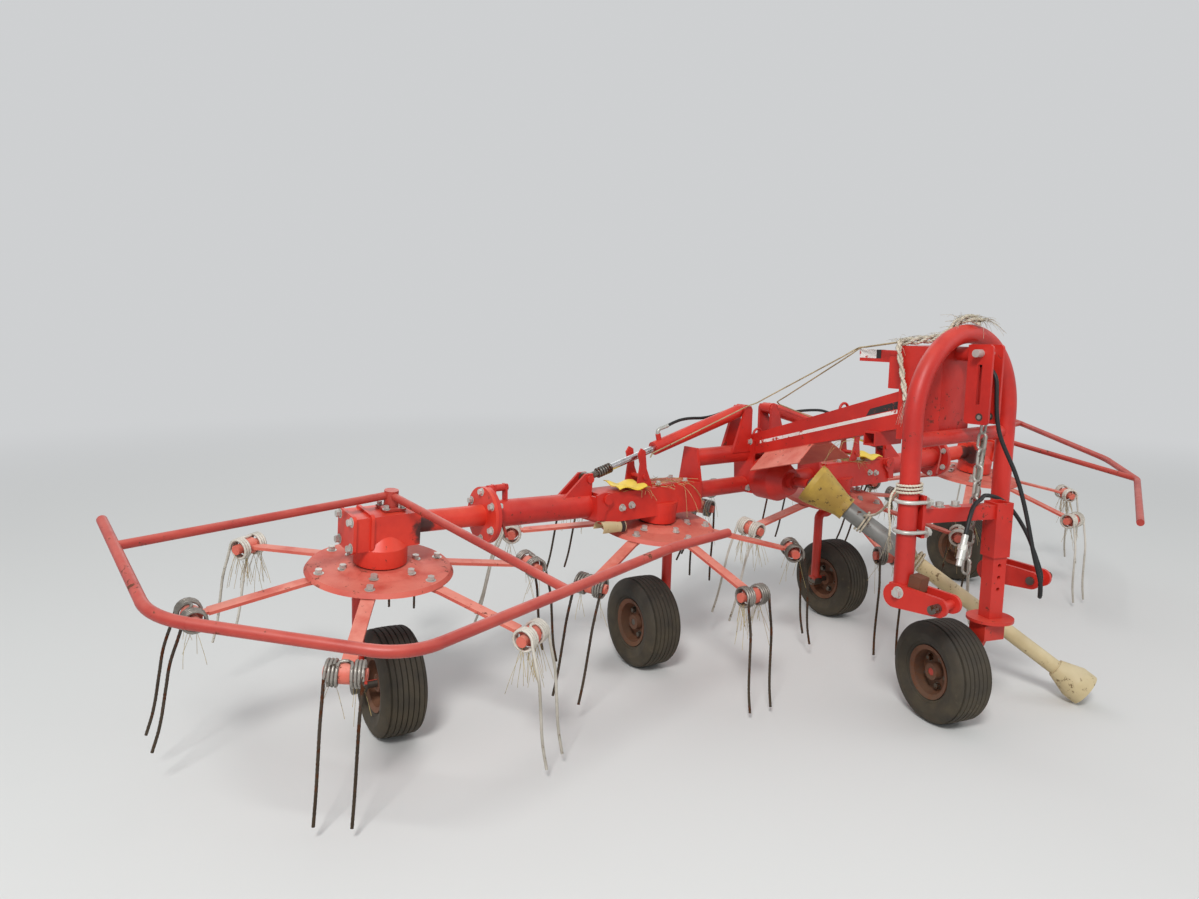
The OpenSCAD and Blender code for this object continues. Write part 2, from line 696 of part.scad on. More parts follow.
// Main beam: a box that climbs from the upper cross tube to the mast
module main_beam() {
  beam_front = mast_front - mast_y;
  machine() color(paint) {
    difference() {
      union() {
        sideways(-beam_w / 2, beam_w) polygon([
          [-upper_tube_d / 2, beam_foot_z + 17], [beam_back, upper_tube_z], [beam_back, beam_foot_z + beam_h_back],
          [-beam_front - 1, beam_foot_z + beam_rise + beam_h_front], [-beam_front - 1, beam_foot_z + beam_rise]
        ]);
        translate([-mast_w / 2, -mast_front, head_tube_z - head_tube_d / 2])
          cube([mast_w, mast_y, mast_top - head_tube_z + head_tube_d / 2]);
        translate([-45, -beam_front - 1, mast_top - 150]) cube([90, 74, 110]);
        translate([-beam_w / 2 - 26, -beam_front + 90, beam_foot_z + beam_rise - 74])
          cube([beam_w + 52, 50, 50]);
      }
      translate([-beam_w, 0, upper_tube_z]) rotate([0, 90, 0]) cylinder(d = upper_tube_d + 2 * seat, h = 2 * beam_w);
      translate([-beam_w, -beam_front + 96, beam_foot_z + beam_rise - 68]) cube([2 * beam_w, 38, 38]);
      translate([-33, -beam_front - 2, mast_top - 132]) cube([66, 80, 100]);
    }
    for (at = [0.06, 0.62]) translate([0, beam_back - at * (beam_front + beam_back),
        beam_foot_z + beam_h_back + at * (beam_rise + beam_h_front - beam_h_back) - 2])
      rotate([90, 0, 0]) rotate_extrude(angle = 180) translate([24, 0]) circle(d = 10, $fn = 16);
  }
}

// Central gearbox with the input shaft that the drive shaft's joint sits on
module centre_gearbox() {
  back = tie_front + seat;
  machine() color(paint) {
    translate([0, -back, input_z - 8]) rotate([90, 0, 0]) {
      cylinder(r = casing_r, h = casing_l * 0.62);
      translate([0, 0, casing_l * 0.62]) cylinder(r1 = casing_r, r2 = casing_r * 0.62, h = casing_l * 0.38);
    }
    translate([0, -back - casing_l + 1, input_z]) rotate([90, 0, 0]) cylinder(d = 64, h = 26);
  }
  machine() color(steel) translate([0, -back - casing_l, input_z]) rotate([90, 0, 0])
    cylinder(d = 36, h = input_y - back - casing_l - seat - joint_r);
}

// The hood over the drive shaft's joint hangs under the beam
module shaft_hood() {
  sheet = 3;
  slope = atan(beam_rise / (mast_front - mast_y + beam_back));
  reach = 95;
  drop = 62;
  half = beam_w / 2 + 6;
  machine() color(faded) translate([0, -110, beam_foot_z + (beam_back + 110) * tan(slope) - seat])
    rotate([-slope, 0, 0]) translate([0, -250, -sheet / cos(slope)]) rotate([90, 0, 180]) linear_extrude(250) polygon([
      [-half - reach, -drop], [-half, 0], [-half, sheet], [half, sheet], [half, 0], [half + reach, -drop],
      [half + reach - sheet, -drop - sheet], [half - 1, -sheet], [-half + 1, -sheet], [-half - reach + sheet, -drop - sheet]
    ]);
}

// Drive shaft: its own frame starts at the gearbox's joint and runs along Z
module along_shaft() {
  machine() translate([0, -input_y, input_z])
    rotate([0, acos(shaft_dir[2]), atan2(shaft_dir[1], shaft_dir[0])]) children();
}

module shaft_cone() {
  small = shaft_outer_d / 2 + seat;
  along_shaft() color(guard_yellow) rotate_extrude($fn = 48) polygon([
    [shaft_cone_d / 2 - cone_wall, -20], [shaft_cone_d / 2, -20], [shaft_cone_d / 2, 0],
    [small + 12, cone_l - 26], [small + 12, cone_l], [small, cone_l], [small, cone_l - 26],
    [shaft_cone_d / 2 - cone_wall, 0]
  ]);
}

module shaft_outer_tube() {
  along_shaft() color(steel) difference() {
    union() {
      sphere(r = joint_r);
      cylinder(d = 46, h = outer_from + 2);
      translate([0, 0, outer_from]) cylinder(d = shaft_outer_d, h = outer_to - outer_from);
    }
    translate([0, 0, outer_from + 24]) cylinder(d = shaft_inner_d + 2 * pin_play, h = outer_to);
  }
}

// The inner tube ends in a guard cone around the yoke for the tractor's splined shaft
module shaft_inner_tube() {
  cone_at = shaft_l - end_cone_l;
  along_shaft() {
    color(guard_cream) {
      translate([0, 0, inner_from]) cylinder(d = shaft_inner_d, h = cone_at + 12 - inner_from);
      rotate_extrude($fn = 48) polygon([
        [shaft_inner_d / 2 - 6, cone_at], [shaft_inner_d / 2 + 6, cone_at],
        [end_cone_d / 2, shaft_l - 46], [end_cone_d / 2, shaft_l],
        [end_cone_d / 2 - cone_wall, shaft_l], [end_cone_d / 2 - cone_wall, shaft_l - 42],
        [shaft_inner_d / 2, cone_at + 10], [shaft_inner_d / 2 - 6, cone_at + 10]
      ]);
    }
    color(steel) difference() {
      union() {
        translate([0, 0, cone_at]) cylinder(d = 40, h = end_cone_l - yoke_l - yoke_in);
        translate([0, 0, shaft_l - yoke_l - yoke_in - 10]) cylinder(d = yoke_d, h = yoke_l + 10);
      }
      translate([0, 0, shaft_l - yoke_l - yoke_in]) cylinder(d = yoke_bore_d, h = yoke_l + 1);
    }
  }
}

// Headstock: the arch, its cross tube and the plates with the lower hitch pins
module hitch_arch() {
  machine() color(paint) {
    for (hand = [-1, 1]) {
      translate([hand * leg_x, -head_y, arch_foot]) cylinder(d = arch_d, h = arch_bend_z - arch_foot);
      hitch_foot(hand);
    }
    translate([0, -head_y, arch_bend_z]) rotate([90, 0, 0]) rotate_extrude(angle = 180, $fn = 96)
      translate([leg_x, 0]) circle(d = arch_d);
    translate([-leg_x, -mast_front - seat - head_tube_d / 2, head_tube_z]) rotate([0, 90, 0])
      cylinder(d = head_tube_d, h = arch_span);
  }
}

// Plates on both sides of a leg's foot reach forward to the lower hitch pin
module hitch_foot(hand) {
  half = hitch_pin_l / 2;
  pin = [-head_y - hitch_reach, hitch_pin_z];
  translate([hand * leg_x - half, -head_y - arch_d / 2, hitch_pin_z - 34]) cube([hitch_pin_l, arch_d, 70]);
  for (side = [-1, 1]) sideways(hand * leg_x + (side > 0 ? half - 0.5 : -half - hitch_plate_t + 0.5), hitch_plate_t)
    difference() {
      hull() {
        translate([-head_y + 4, hitch_pin_z]) circle(d = 78, $fn = 32);
        translate(pin) circle(d = 60, $fn = 32);
      }
    }
  inner_end = half + hitch_plate_t + 8;
  outer_end = half + hitch_plate_t - 0.5 + hitch_pin_out;
  translate([hand * leg_x - (hand > 0 ? inner_end : outer_end), pin[0], pin[1]]) rotate([0, 90, 0])
    cylinder(d = hitch_pin_d, h = inner_end + outer_end);
}

// Top link bracket: a spacer tube from the mast to two plates with a pin, a slot and a hole
module top_link_bracket() {
  half = top_gap / 2;
  y0 = -head_y - top_plate_y[1];
  y1 = -head_y - top_plate_y[0];
  pin_y = -head_y - top_pin[0];
  machine() color(paint) {
    translate([0, y1 - 1, top_pin[1] - 5]) rotate([-90, 0, 0]) cylinder(d = 46, h = -mast_front - seat - y1 + 1);
    translate([-half - top_plate_t, y1 - 10, top_pin[1] - 50]) cube([top_gap + 2 * top_plate_t, 10, 76]);
    translate([0, y1 - 9.5, top_pin[1] - 38]) rotate([90, 0, 0]) cylinder(d = gland_d, h = gland_reach + 0.5);
    for (side = [-1, 1]) sideways(side > 0 ? half : -half - top_plate_t, top_plate_t) difference() {
      translate([y0, top_hole[1] - 24]) rounded([y1 - y0, top_pin[1] + 28 - top_hole[1] + 24], 12);
      translate([-head_y - top_hole[0] + 12, top_hole[1]]) circle(d = top_pin_d + 1);
      translate([pin_y - 7, top_hole[1] + 40]) square([14, 128]);
    }
  }
  machine() color(steel) translate([-half - top_plate_t - top_pin_out, pin_y, top_pin[1]]) rotate([0, 90, 0])
    cylinder(d = top_pin_d, h = top_gap + 2 * top_plate_t + top_pin_out + 14);
}

// The hose: rings of one size along its route, joined to a closed tube
function along_path(p, i) = i == 0 ? [0, -1, 0] : unit(p[min(i + 1, len(p) - 1)] - p[i - 1]);

module swept_tube(p, d, sides) {
  last = len(p) - 1;
  ring = [for (i = [0:last]) let (t = along_path(p, i), u = unit(cross(t, [-0.45, 0.89, 0])), v = cross(t, u))
    for (k = [0:sides - 1]) p[i] + (u * cos(360 * k / sides) + v * sin(360 * k / sides)) * d / 2];
  walls = [for (i = [0:last - 1]) for (k = [0:sides - 1])
    let (a = i * sides + k, b = i * sides + (k + 1) % sides)
      for (face = [[a, b, b + sides], [a, b + sides, a + sides]]) face];
  polyhedron(ring, concat([[for (k = [sides - 1:-1:0]) k]], walls, [[for (k = [0:sides - 1]) last * sides + k]]));
}

module hose() {
  machine() color(tyre_black) swept_tube(hose_path, hose_d, 10);
}

// The quick coupler on the hose's free end: crimped sleeve, nut, body and nose
module hose_coupler() {
  last = len(hose_path) - 1;
  t = along_path(hose_path, last);
  machine() color(zinc) translate(hose_path[last] + 0.1 * t) rotate([0, acos(t[2]), atan2(t[1], t[0])]) {
    cylinder(d = 21, h = 34);
    translate([0, 0, 33]) cylinder(d = 30, h = 18, $fn = 6);
    translate([0, 0, 50]) cylinder(d = 25, h = 30);
    translate([0, 0, 79]) cylinder(d = 18, h = 22);
  }
}

// Hanging chain: links of one pitch, each turned a quarter from the last
module lift_chain() {
  links = 10;
  pitch = 54;
  wire = 9;
  wide = 34;
  machine() color(steel) translate([0, -head_y - top_hole[0] + 12, top_hole[1]]) {
    translate([-top_gap / 2 - top_plate_t, 0, 0]) rotate([0, 90, 0]) cylinder(d = 14, h = top_gap + 2 * top_plate_t);
    rotate([chain_lean[0], chain_lean[1], 0]) for (i = [0:links - 1]) translate([0, 0, -(i + 0.5) * pitch])
      rotate([0, 0, i % 2 * 90]) chain_link(pitch - wire - 0.6, wide, wire);
  }
}

// An upright link whose inner length is the pitch, drawn in X-Z
module chain_link(inner, wide, wire) {
  r = (wide - wire) / 2;
  straight = inner + wire - 2 * r;
  for (end = [-1, 1]) translate([0, 0, end * straight / 2]) rotate([90, 0, 0]) rotate([0, 0, end > 0 ? 0 : 180])
    rotate_extrude(angle = 180, $fn = 16) translate([r, 0]) circle(d = wire, $fn = 14);
  for (side = [-1, 1]) translate([side * r, 0, 0]) cylinder(d = wire, h = straight, center = true, $fn = 14);
}

// Warning bar behind the mast's top
module warning_bar() {
  machine() color("white") translate([-12, -(mast_front - mast_y) + 74 + seat, mast_top - 62]) cube([24, 150, 42]);
}

// Support arm: clamped to the right-hand leg, it carries the square sleeve
module support_arm() {
  leg_at = [-leg_x, -head_y];
  reach = norm(pivot - leg_at);
  turn = atan2(pivot[1] - leg_at[1], pivot[0] - leg_at[0]);
  off = arch_d / 2 + seat;
  bolt_r = off + 6 + bend_swell / 2;
  machine() translate([leg_at[0], leg_at[1], 0]) rotate(turn) {
    color(paint) difference() {
      union() {
        translate([off, -34, arm_z - 68]) cube([12, 68, 136]);
        translate([off + 10, -support_tube / 2, arm_z - support_tube / 2])
          cube([reach - off - 10 - sleeve_w / 2 + 1, support_tube, support_tube]);
        translate([reach - sleeve_w / 2, -sleeve_w / 2, sleeve_z[0]])
          cube([sleeve_w, sleeve_w, sleeve_z[1] - sleeve_z[0]]);
      }
      translate([reach - post_w / 2 - pin_play, -post_w / 2 - pin_play, sleeve_z[0] - 1])
        cube([post_w + 2 * pin_play, post_w + 2 * pin_play, sleeve_z[1] - sleeve_z[0] + 2]);
    }
    color(zinc) for (high = [-48, 48]) translate([0, 0, arm_z + high]) {
      rotate(90) rotate_extrude(angle = 180) translate([bolt_r, 0]) circle(d = 12 + bend_swell, $fn = 16);
      for (y = [-bolt_r, bolt_r]) translate([-bend_lap, y, 0]) rotate([0, 90, 0])
        cylinder(d = 12, h = off + 26, $fn = 16);
    }
  }
}

module at_pivot() {
  leg_at = [-leg_x, -head_y];
  machine() translate([pivot[0], pivot[1], 0])
    rotate(atan2(pivot[1] - leg_at[1], pivot[0] - leg_at[0])) children();
}

// Square post with its row of holes and the swivel plate under it
module support_post() {
  at_pivot() color(paint) difference() {
    union() {
      translate([-post_w / 2, -post_w / 2, swivel_z]) cube([post_w, post_w, sleeve_z[1] - 12 - swivel_z]);
      translate([0, 0, swivel_z]) cylinder(d = 150, h = swivel_t);
    }
    translate([0, 0, swivel_z - 1]) cylinder(d = king_d + 2 * pin_play, h = king_l + 4);
    for (high = [110, 150, 190]) translate([0, 0, swivel_z + high]) rotate([90, 0, 0])
      cylinder(d = 13, h = post_w + 2, center = true);
  }
}

// The support wheel's frame: -Y is where it heads and the pivot is the origin
module at_caster() {
  machine() translate([pivot[0], pivot[1], 0]) rotate(caster_angle) children();
}

// One-sided fork with its king pin and axle
module support_fork() {
  plate_x = caster_side + tyre_w / 2 + fork_gap;
  top = swivel_z - seat;
  at_caster() color(paint) {
    translate([0, 0, top - 10]) cylinder(d = 96, h = 10);
    translate([0, 0, top - 1]) cylinder(d = king_d, h = king_l);
    translate([plate_x, -36, top - 60]) cube([-plate_x + 30, 72, 51]);
    sideways(plate_x, fork_t) hull() {
      translate([0, top - 44]) circle(d = 72, $fn = 32);
      translate([caster_trail, tyre_d / 2]) circle(d = 60, $fn = 32);
    }
    translate([caster_side - tyre_w * 0.3, caster_trail, tyre_d / 2]) rotate([0, 90, 0])
      cylinder(d = axle_d, h = plate_x + 2 - caster_side + tyre_w * 0.3);
  }
}

module at_support_wheel() {
  at_caster() translate([caster_side, caster_trail, tyre_d / 2]) rotate([0, 90, 0]) children();
}

// Guard bows in plan: free end, corners and inner end, with the stays' feet
right_bow = [[-2398, 22], [-2411, -605], [-2004, -978], [-1060, -708], [-809, -676]];
right_bends = [0, 190, 150, 300, 0];
right_feet = [[-2402, -175], [-1514, -838]];
left_bow = [[-2205, 420], [-2180, 80], [-1800, -590], [-1526, -852], [-812, -1174]];
left_bends = [0, 300, 300, 120, 0];
left_feet = [[-2168, 40], [-1540, -838]];

main_beam();
cross_frame();
centre_gearbox();
gearbox_inner(1);  // gearbox_right_inner
gearbox_inner(-1);  // gearbox_left_inner
hitch_arch();
top_link_bracket();
lift_chain();
shaft_hood();
shaft_cone();
shaft_outer_tube();
shaft_inner_tube();
hose();
hose_coupler();
warning_bar();
latch(1);  // latch_right
latch(-1);  // latch_left
support_arm();
support_post();
support_fork();
at_support_wheel() rim();  // support_rim
at_support_wheel() tyre();  // support_tyre
wing_arm(1);  // wing_arm_right
wing_arm(-1);  // wing_arm_left
gearbox_outer(1);  // gearbox_right_outer
gearbox_outer(-1);  // gearbox_left_outer
guard(1, right_bow, right_bends, right_feet);  // guard_right
guard(-1, left_bow, left_bends, left_feet);  // guard_left
ram_barrel(1);  // ram_barrel_right
ram_barrel(-1);  // ram_barrel_left
ram_rod(1);  // ram_rod_right
ram_rod(-1);  // ram_rod_left
rotor(0);  // rotor_1
rotor(1);  // rotor_2
rotor(2);  // rotor_3
rotor(3);  // rotor_4
tines(0);  // tines_1
tines(1);  // tines_2
tines(2);  // tines_3
tines(3);  // tines_4
leg(0);  // leg_1
leg(1);  // leg_2
leg(2);  // leg_3
leg(3);  // leg_4
at_wheel(0) rim();  // rim_1
at_wheel(1) rim();  // rim_2
at_wheel(2) rim();  // rim_3
at_wheel(3) rim();  // rim_4
at_wheel(0) tyre();  // tyre_1
at_wheel(1) tyre();  // tyre_2
at_wheel(2) tyre();  // tyre_3
at_wheel(3) tyre();  // tyre_4
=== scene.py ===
# %% [markdown]
# # A hay tedder, dressed in Blender
# The machine is a mounted hay tedder: four spinning rotors on a frame that folds, parked in a meadow. Its
# shapes come packed from CAD, and this file gives them their look: worn red paint, dark spring wire, rubber,
# chrome and rope. Everything is in metres, and every piece rides on one of the machine's bodies.

# %% The frame
import json
import math
import random
import bmesh
import bpy
from mathutils import Euler, Matrix, Vector


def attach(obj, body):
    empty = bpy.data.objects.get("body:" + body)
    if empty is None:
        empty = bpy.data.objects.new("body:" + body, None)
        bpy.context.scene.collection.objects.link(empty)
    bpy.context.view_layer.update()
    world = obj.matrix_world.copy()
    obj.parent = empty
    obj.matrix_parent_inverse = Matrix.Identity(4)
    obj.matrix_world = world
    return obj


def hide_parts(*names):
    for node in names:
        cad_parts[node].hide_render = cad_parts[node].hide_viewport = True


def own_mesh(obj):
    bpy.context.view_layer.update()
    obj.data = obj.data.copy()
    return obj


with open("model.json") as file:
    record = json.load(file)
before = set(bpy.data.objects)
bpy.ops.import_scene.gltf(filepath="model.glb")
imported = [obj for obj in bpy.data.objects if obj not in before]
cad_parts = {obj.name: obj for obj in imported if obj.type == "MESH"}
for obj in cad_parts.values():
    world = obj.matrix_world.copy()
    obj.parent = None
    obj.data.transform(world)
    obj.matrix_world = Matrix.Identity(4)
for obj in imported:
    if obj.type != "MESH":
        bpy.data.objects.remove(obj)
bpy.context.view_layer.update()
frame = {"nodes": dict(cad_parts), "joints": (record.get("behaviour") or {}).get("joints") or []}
nodes = frame["nodes"]
joints = {joint["name"]: joint for joint in frame["joints"]}


def new_object(name, data):
    """Puts a mesh, a lamp or a camera into the scene."""
    obj = bpy.data.objects.new(name, data)
    bpy.context.scene.collection.objects.link(obj)
    return obj


def new_mesh_object(name, points, faces, edges=()):
    mesh = bpy.data.meshes.new(name)
    mesh.from_pydata([tuple(p) for p in points], edges, faces)
    mesh.update()
    return new_object(name, mesh)


# %% [markdown]
# ## The camera
# The photograph was fitted beforehand: from where, and through which lens, the rotors, wheels and arch fall
# where they do in it. The fit gives a place, three angles and a focal length in pixels. The place is measured
# from the middle of the rotor row, and ROW_SHIFT says where that middle stands in the frame.

# %% Camera at the photograph's place
IMAGE_W, FOCAL_PX, SENSOR_MM = 1199, 920.66, 36.0
ROW_SHIFT = Vector((0.0886, 0.2476, 0.0))
FROM_ROW = Vector((-2.7706, -2.6326, 1.3294))
yaw, pitch, roll = (math.radians(a) for a in (36.855, -8.0912, 0.9517))
ahead = Vector((math.sin(yaw) * math.cos(pitch), math.cos(yaw) * math.cos(pitch), math.sin(pitch)))
level = Vector((math.cos(yaw), -math.sin(yaw), 0.0))
over = level.cross(ahead)
right = level * math.cos(roll) + over * math.sin(roll)
up = right.cross(ahead)
camera_data = bpy.data.cameras.new("camera")
camera_data.sensor_fit = "HORIZONTAL"
camera_data.sensor_width = SENSOR_MM
camera_data.lens = FOCAL_PX * SENSOR_MM / IMAGE_W
camera = new_object("camera", camera_data)
turned = Matrix((right, up, -ahead)).transposed().to_4x4()
camera.matrix_world = Matrix.Translation(FROM_ROW + ROW_SHIFT) @ turned
bpy.context.scene.camera = camera
print("camera at", [round(c, 3) for c in camera.matrix_world.translation], "lens", round(camera_data.lens, 2))

# %% [markdown]
# ## Node trees
# Materials, the world and the repeated shapes are all trees of nodes. Two small classes keep them short: one
# adds nodes to any tree and joins them, the other starts a material and knows the patterns that finishes use.

# %% Helpers for node trees
def srgb(r, g, b):
    """A colour as read off the photograph, 0 to 255, made linear."""
    def linear(c):
        c /= 255.0
        return c / 12.92 if c <= 0.04045 else ((c + 0.055) / 1.055) ** 2.4
    return (linear(r), linear(g), linear(b), 1.0)


class Wiring:
    """Adds nodes to a tree and joins them. A value that is a socket is linked, any other is set."""

    def __init__(self, tree):
        self.tree = tree

    def feed(self, socket, value):
        if isinstance(value, bpy.types.NodeSocket):
            self.tree.links.new(value, socket)
        else:
            socket.default_value = value

    def fill(self, made, **inputs):
        for key, value in inputs.items():
            self.feed(made.inputs[key.replace("_", " ")], value)
        return made

    def node(self, kind, settings=(), *values, **inputs):
        """A new node: values go to its first inputs in their order, and inputs go by name."""
        made = self.tree.nodes.new(kind)
        for key, value in dict(settings).items():
            setattr(made, key, value)
        for socket, value in zip(made.inputs, values):
            self.feed(socket, value)
        return self.fill(made, **inputs)

    def math(self, what, *values):
        return self.node("ShaderNodeMath", {"operation": what}, *values).outputs["Value"]

    def vectors(self, what, *values):
        return self.node("ShaderNodeVectorMath", {"operation": what}, *values)

    def blend(self, *values):
        """Mixes two shaders: the amount, the first and the second."""
        return self.node("ShaderNodeMixShader", (), *values).outputs[0]

    def seen_or_mirrored(self):
        """1 where the camera looks, straight or over a mirror, and 0 for the light that falls on things."""
        ray = self.node("ShaderNodeLightPath")
        return self.math("MAXIMUM", ray.outputs["Is Camera Ray"], ray.outputs["Is Glossy Ray"])


class Paint(Wiring):
    """A new material, its shader, and the patterns that its colour is made of."""

    def __init__(self, name):
        self.material = bpy.data.materials.new(name)
        self.material.use_nodes = True
        super().__init__(self.material.node_tree)
        self.shader = self.tree.nodes["Principled BSDF"]
        self.place = self.node("ShaderNodeTexCoord")

    def noise(self, scale, detail=4.0, rough=0.6):
        made = self.node("ShaderNodeTexNoise", Vector=self.place.outputs["Object"], Scale=scale, Detail=detail,
                         Roughness=rough)
        return made.outputs["Fac"]

    def band(self, value, low, high):
        """0 below low, 1 above high, smooth between."""
        made = self.node("ShaderNodeMapRange", {"interpolation_type": "SMOOTHSTEP"}, Value=value, From_Min=low,
                         From_Max=high)
        return made.outputs["Result"]

    def mix(self, amount, first, second):
        """Mixes two colours."""
        made = self.node("ShaderNodeMix", {"data_type": "RGBA"})
        for index, value in ((0, amount), (6, first), (7, second)):
            self.feed(made.inputs[index], value)
        return made.outputs[2]

    def bump(self, height, strength, distance):
        made = self.node("ShaderNodeBump", Strength=strength, Distance=distance, Height=height)
        self.fill(self.shader, Normal=made.outputs["Normal"])

    def upward(self, which):
        """The upright part of the place (which is Object) or of the way a face looks (Normal)."""
        return self.node("ShaderNodeSeparateXYZ", (), self.place.outputs[which]).outputs["Z"]


print("helpers for trees ready")

# %% [markdown]
# ## Floor and light
# A plain pale floor and a soft key light from the left, where the sun stands in the photograph, with a
# pale world to fill the shadows. The floor fades into one flat backdrop colour with distance. Only the camera
# and mirrors see that colour, so it adds no light.

# %% Floor, world and lamps
BACKDROP = (0.62, 0.63, 0.64, 1)
FLOOR_HALF = 40
FADE_FROM, FADE_TO = 3.2, 10.0
MIDDLE = (0, 0, 0.4)


def plain_floor():
    corners = [(x * FLOOR_HALF, y * FLOOR_HALF, 0) for x, y in ((-1, -1), (1, -1), (1, 1), (-1, 1))]
    floor = new_mesh_object("floor", corners, [(0, 1, 2, 3)])
    w = Paint("floor_plaster")
    w.fill(w.shader, Base_Color=(0.66, 0.66, 0.64, 1), Roughness=0.95, Specular_IOR_Level=0.1)
    far = w.vectors("LENGTH", w.place.outputs["Object"])
    share = w.math("MULTIPLY", w.band(far.outputs["Value"], FADE_FROM, FADE_TO), w.seen_or_mirrored())
    glow = w.node("ShaderNodeEmission", Color=BACKDROP)
    w.fill(w.tree.nodes["Material Output"], Surface=w.blend(share, w.shader.outputs[0], glow.outputs[0]))
    floor.data.materials.append(w.material)


def pale_world():
    world = bpy.data.worlds.new("world")
    bpy.context.scene.world = world
    world.use_nodes = True
    w = Wiring(world.node_tree)
    sky = w.fill(w.tree.nodes["Background"], Color=(0.93, 0.96, 1.0, 1), Strength=0.60)
    behind = w.node("ShaderNodeBackground", Color=BACKDROP)
    both = w.blend(w.seen_or_mirrored(), sky.outputs[0], behind.outputs[0])
    w.fill(w.tree.nodes["World Output"], Surface=both)


def soft_lamp(name, place, size, power):
    light = bpy.data.lights.new(name, "AREA")
    light.shape = "SQUARE"
    light.size = size
    light.energy = power
    lamp = new_object(name, light)
    lamp.location = place
    lamp.rotation_euler = (Vector(MIDDLE) - Vector(place)).to_track_quat("-Z", "Y").to_euler()


plain_floor()
pale_world()
soft_lamp("key_lamp", (-5.5, -4.5, 6.5), 1.8, 520)
soft_lamp("fill_lamp", (5.0, -5.0, 4.0), 4.0, 60)
soft_lamp("back_lamp", (2.0, 6.0, 5.0), 4.0, 70)
bpy.context.scene.view_settings.view_transform = "Standard"
print("floor, world and", len(bpy.data.lights), "lamps set")

# %% [markdown]
# ## Places on the machine
# The drawing measures the machine in millimetres from the middle of its rotor row, on the ground. Small helpers
# turn such a place, or a place on one rotor, into the frame's metres. The rotors are raked, and each has six
# arms, the first of which stands at its own angle.

# %% From the drawing's millimetres to the frame
DISC_HEIGHT, RAKE = 560.0, math.radians(8.0)
ROTOR_X = (-1643.0, -520.0, 520.0, 1643.0)
ROTORS = (1, 2, 3, 4)
FIRST_ARM = (-2.0, 28.0, 4.0, 30.0)
SIDES = (("right", -1), ("left", 1))
WHEELS = [("tyre_%d" % i, "rim_%d" % i, "wheel_roll_%d" % i, "wheel_%d" % i) for i in ROTORS]
WHEELS.append(("support_tyre", "support_rim", "support_roll", "support_wheel"))
GEARBOX_TOP = 712


def spot(x, y, z):
    return Vector((x, y, z)) / 1000.0 + ROW_SHIFT


def spots(*places):
    return [spot(*p) for p in places]


def rotor_frame(number, turn=0.0):
    """The matrix from rotor number's own frame, in millimetres, to the machine's."""
    place = Matrix.Translation(spot(ROTOR_X[number - 1], 0.0, DISC_HEIGHT))
    return place @ Matrix.Rotation(RAKE, 4, "X") @ Matrix.Rotation(math.radians(turn), 4, "Z") @ Matrix.Scale(0.001, 4)


def arm_turns(number):
    return [FIRST_ARM[number - 1] + 60.0 * i for i in range(6)]


def axes_about(axis):
    """Three square axes in metres, the last along axis."""
    z = Vector(axis).normalized()
    x = z.orthogonal().normalized()
    return x, z.cross(x), z


print("rotor 1 stands at", [round(c, 3) for c in rotor_frame(1).translation])

# %% [markdown]
# ## Finishes
# The machine has stood outdoors for years. Its red paint is deep where the sun seldom reaches, chalky pink on
# the discs, chipped to rust on edges, and dusty near the ground. One recipe makes all painted finishes: two
# tones mixed by a broad noise, a bleached tone that lies on faces that look up, spots of rust where a fine
# noise runs high, and earth that fades out with height. Old grease has turned the paint black round the outer
# gearboxes' necks and the rotors' hubs. All of it reads Object coordinates, so it stays on the piece when the
# piece moves.

# %% The recipe
RUST, EARTH, GREASE = (96, 52, 30), (120, 104, 74), (34, 28, 26)
RED_RUST, PINK_RUST = (112, 44, 32), (122, 62, 44)


def weathered(name, tone, second, bleached=None, bleach=0.0, rust=RUST, rust_from=0.66, earth=0.35,
              rough=0.45, metal=0.0, grain=0.0006, spot_scale=38.0, greasy=()):
    """The recipe above as a material, its colours 0 to 255. bleach is how far up-facing faces go to the
    bleached tone, and greasy holds spots, each a place in metres and a reach."""
    w = Paint(name)
    colour = w.mix(w.band(w.noise(5.0), 0.35, 0.65), srgb(*tone), srgb(*second))
    if bleached is not None:
        patchy = w.math("MULTIPLY", w.band(w.upward("Normal"), 0.15, 0.95), w.band(w.noise(9.0, 6.0), 0.25, 0.62))
        colour = w.mix(w.math("MULTIPLY", patchy, bleach), colour, srgb(*bleached))
    spots = w.math("MULTIPLY", w.noise(spot_scale, 8.0, 0.72), w.math("ADD", w.noise(4.0), 0.62))
    worn = w.band(spots, rust_from, rust_from + 0.05)
    colour = w.mix(worn, colour, srgb(*rust))
    for place, reach in greasy:
        gap = w.vectors("DISTANCE", w.place.outputs["Object"], place)
        ragged = w.math("ADD", gap.outputs["Value"], w.math("MULTIPLY", w.noise(26.0, 6.0), reach))
        smear = w.math("SUBTRACT", 1.0, w.band(ragged, reach * 1.15, reach * 1.45))
        colour = w.mix(w.math("MULTIPLY", smear, 0.92), colour, srgb(*GREASE))
    dusty = w.math("SUBTRACT", 1.0, w.band(w.upward("Object"), 0.02, 0.55))
    dusty = w.math("MULTIPLY", w.math("MULTIPLY", dusty, w.noise(14.0, 6.0)), earth)
    uneven = w.math("MULTIPLY_ADD", w.noise(22.0, 5.0), 0.30, rough - 0.15)
    w.fill(w.shader, Base_Color=w.mix(dusty, colour, srgb(*EARTH)), Metallic=metal,
           Roughness=w.math("MAXIMUM", uneven, w.math("MULTIPLY", worn, 0.85)))
    w.bump(w.math("SUBTRACT", w.noise(120.0, 3.0), worn), 0.35, grain)
    return w.material


print("recipe ready, rust", [round(c, 3) for c in srgb(*RUST)])

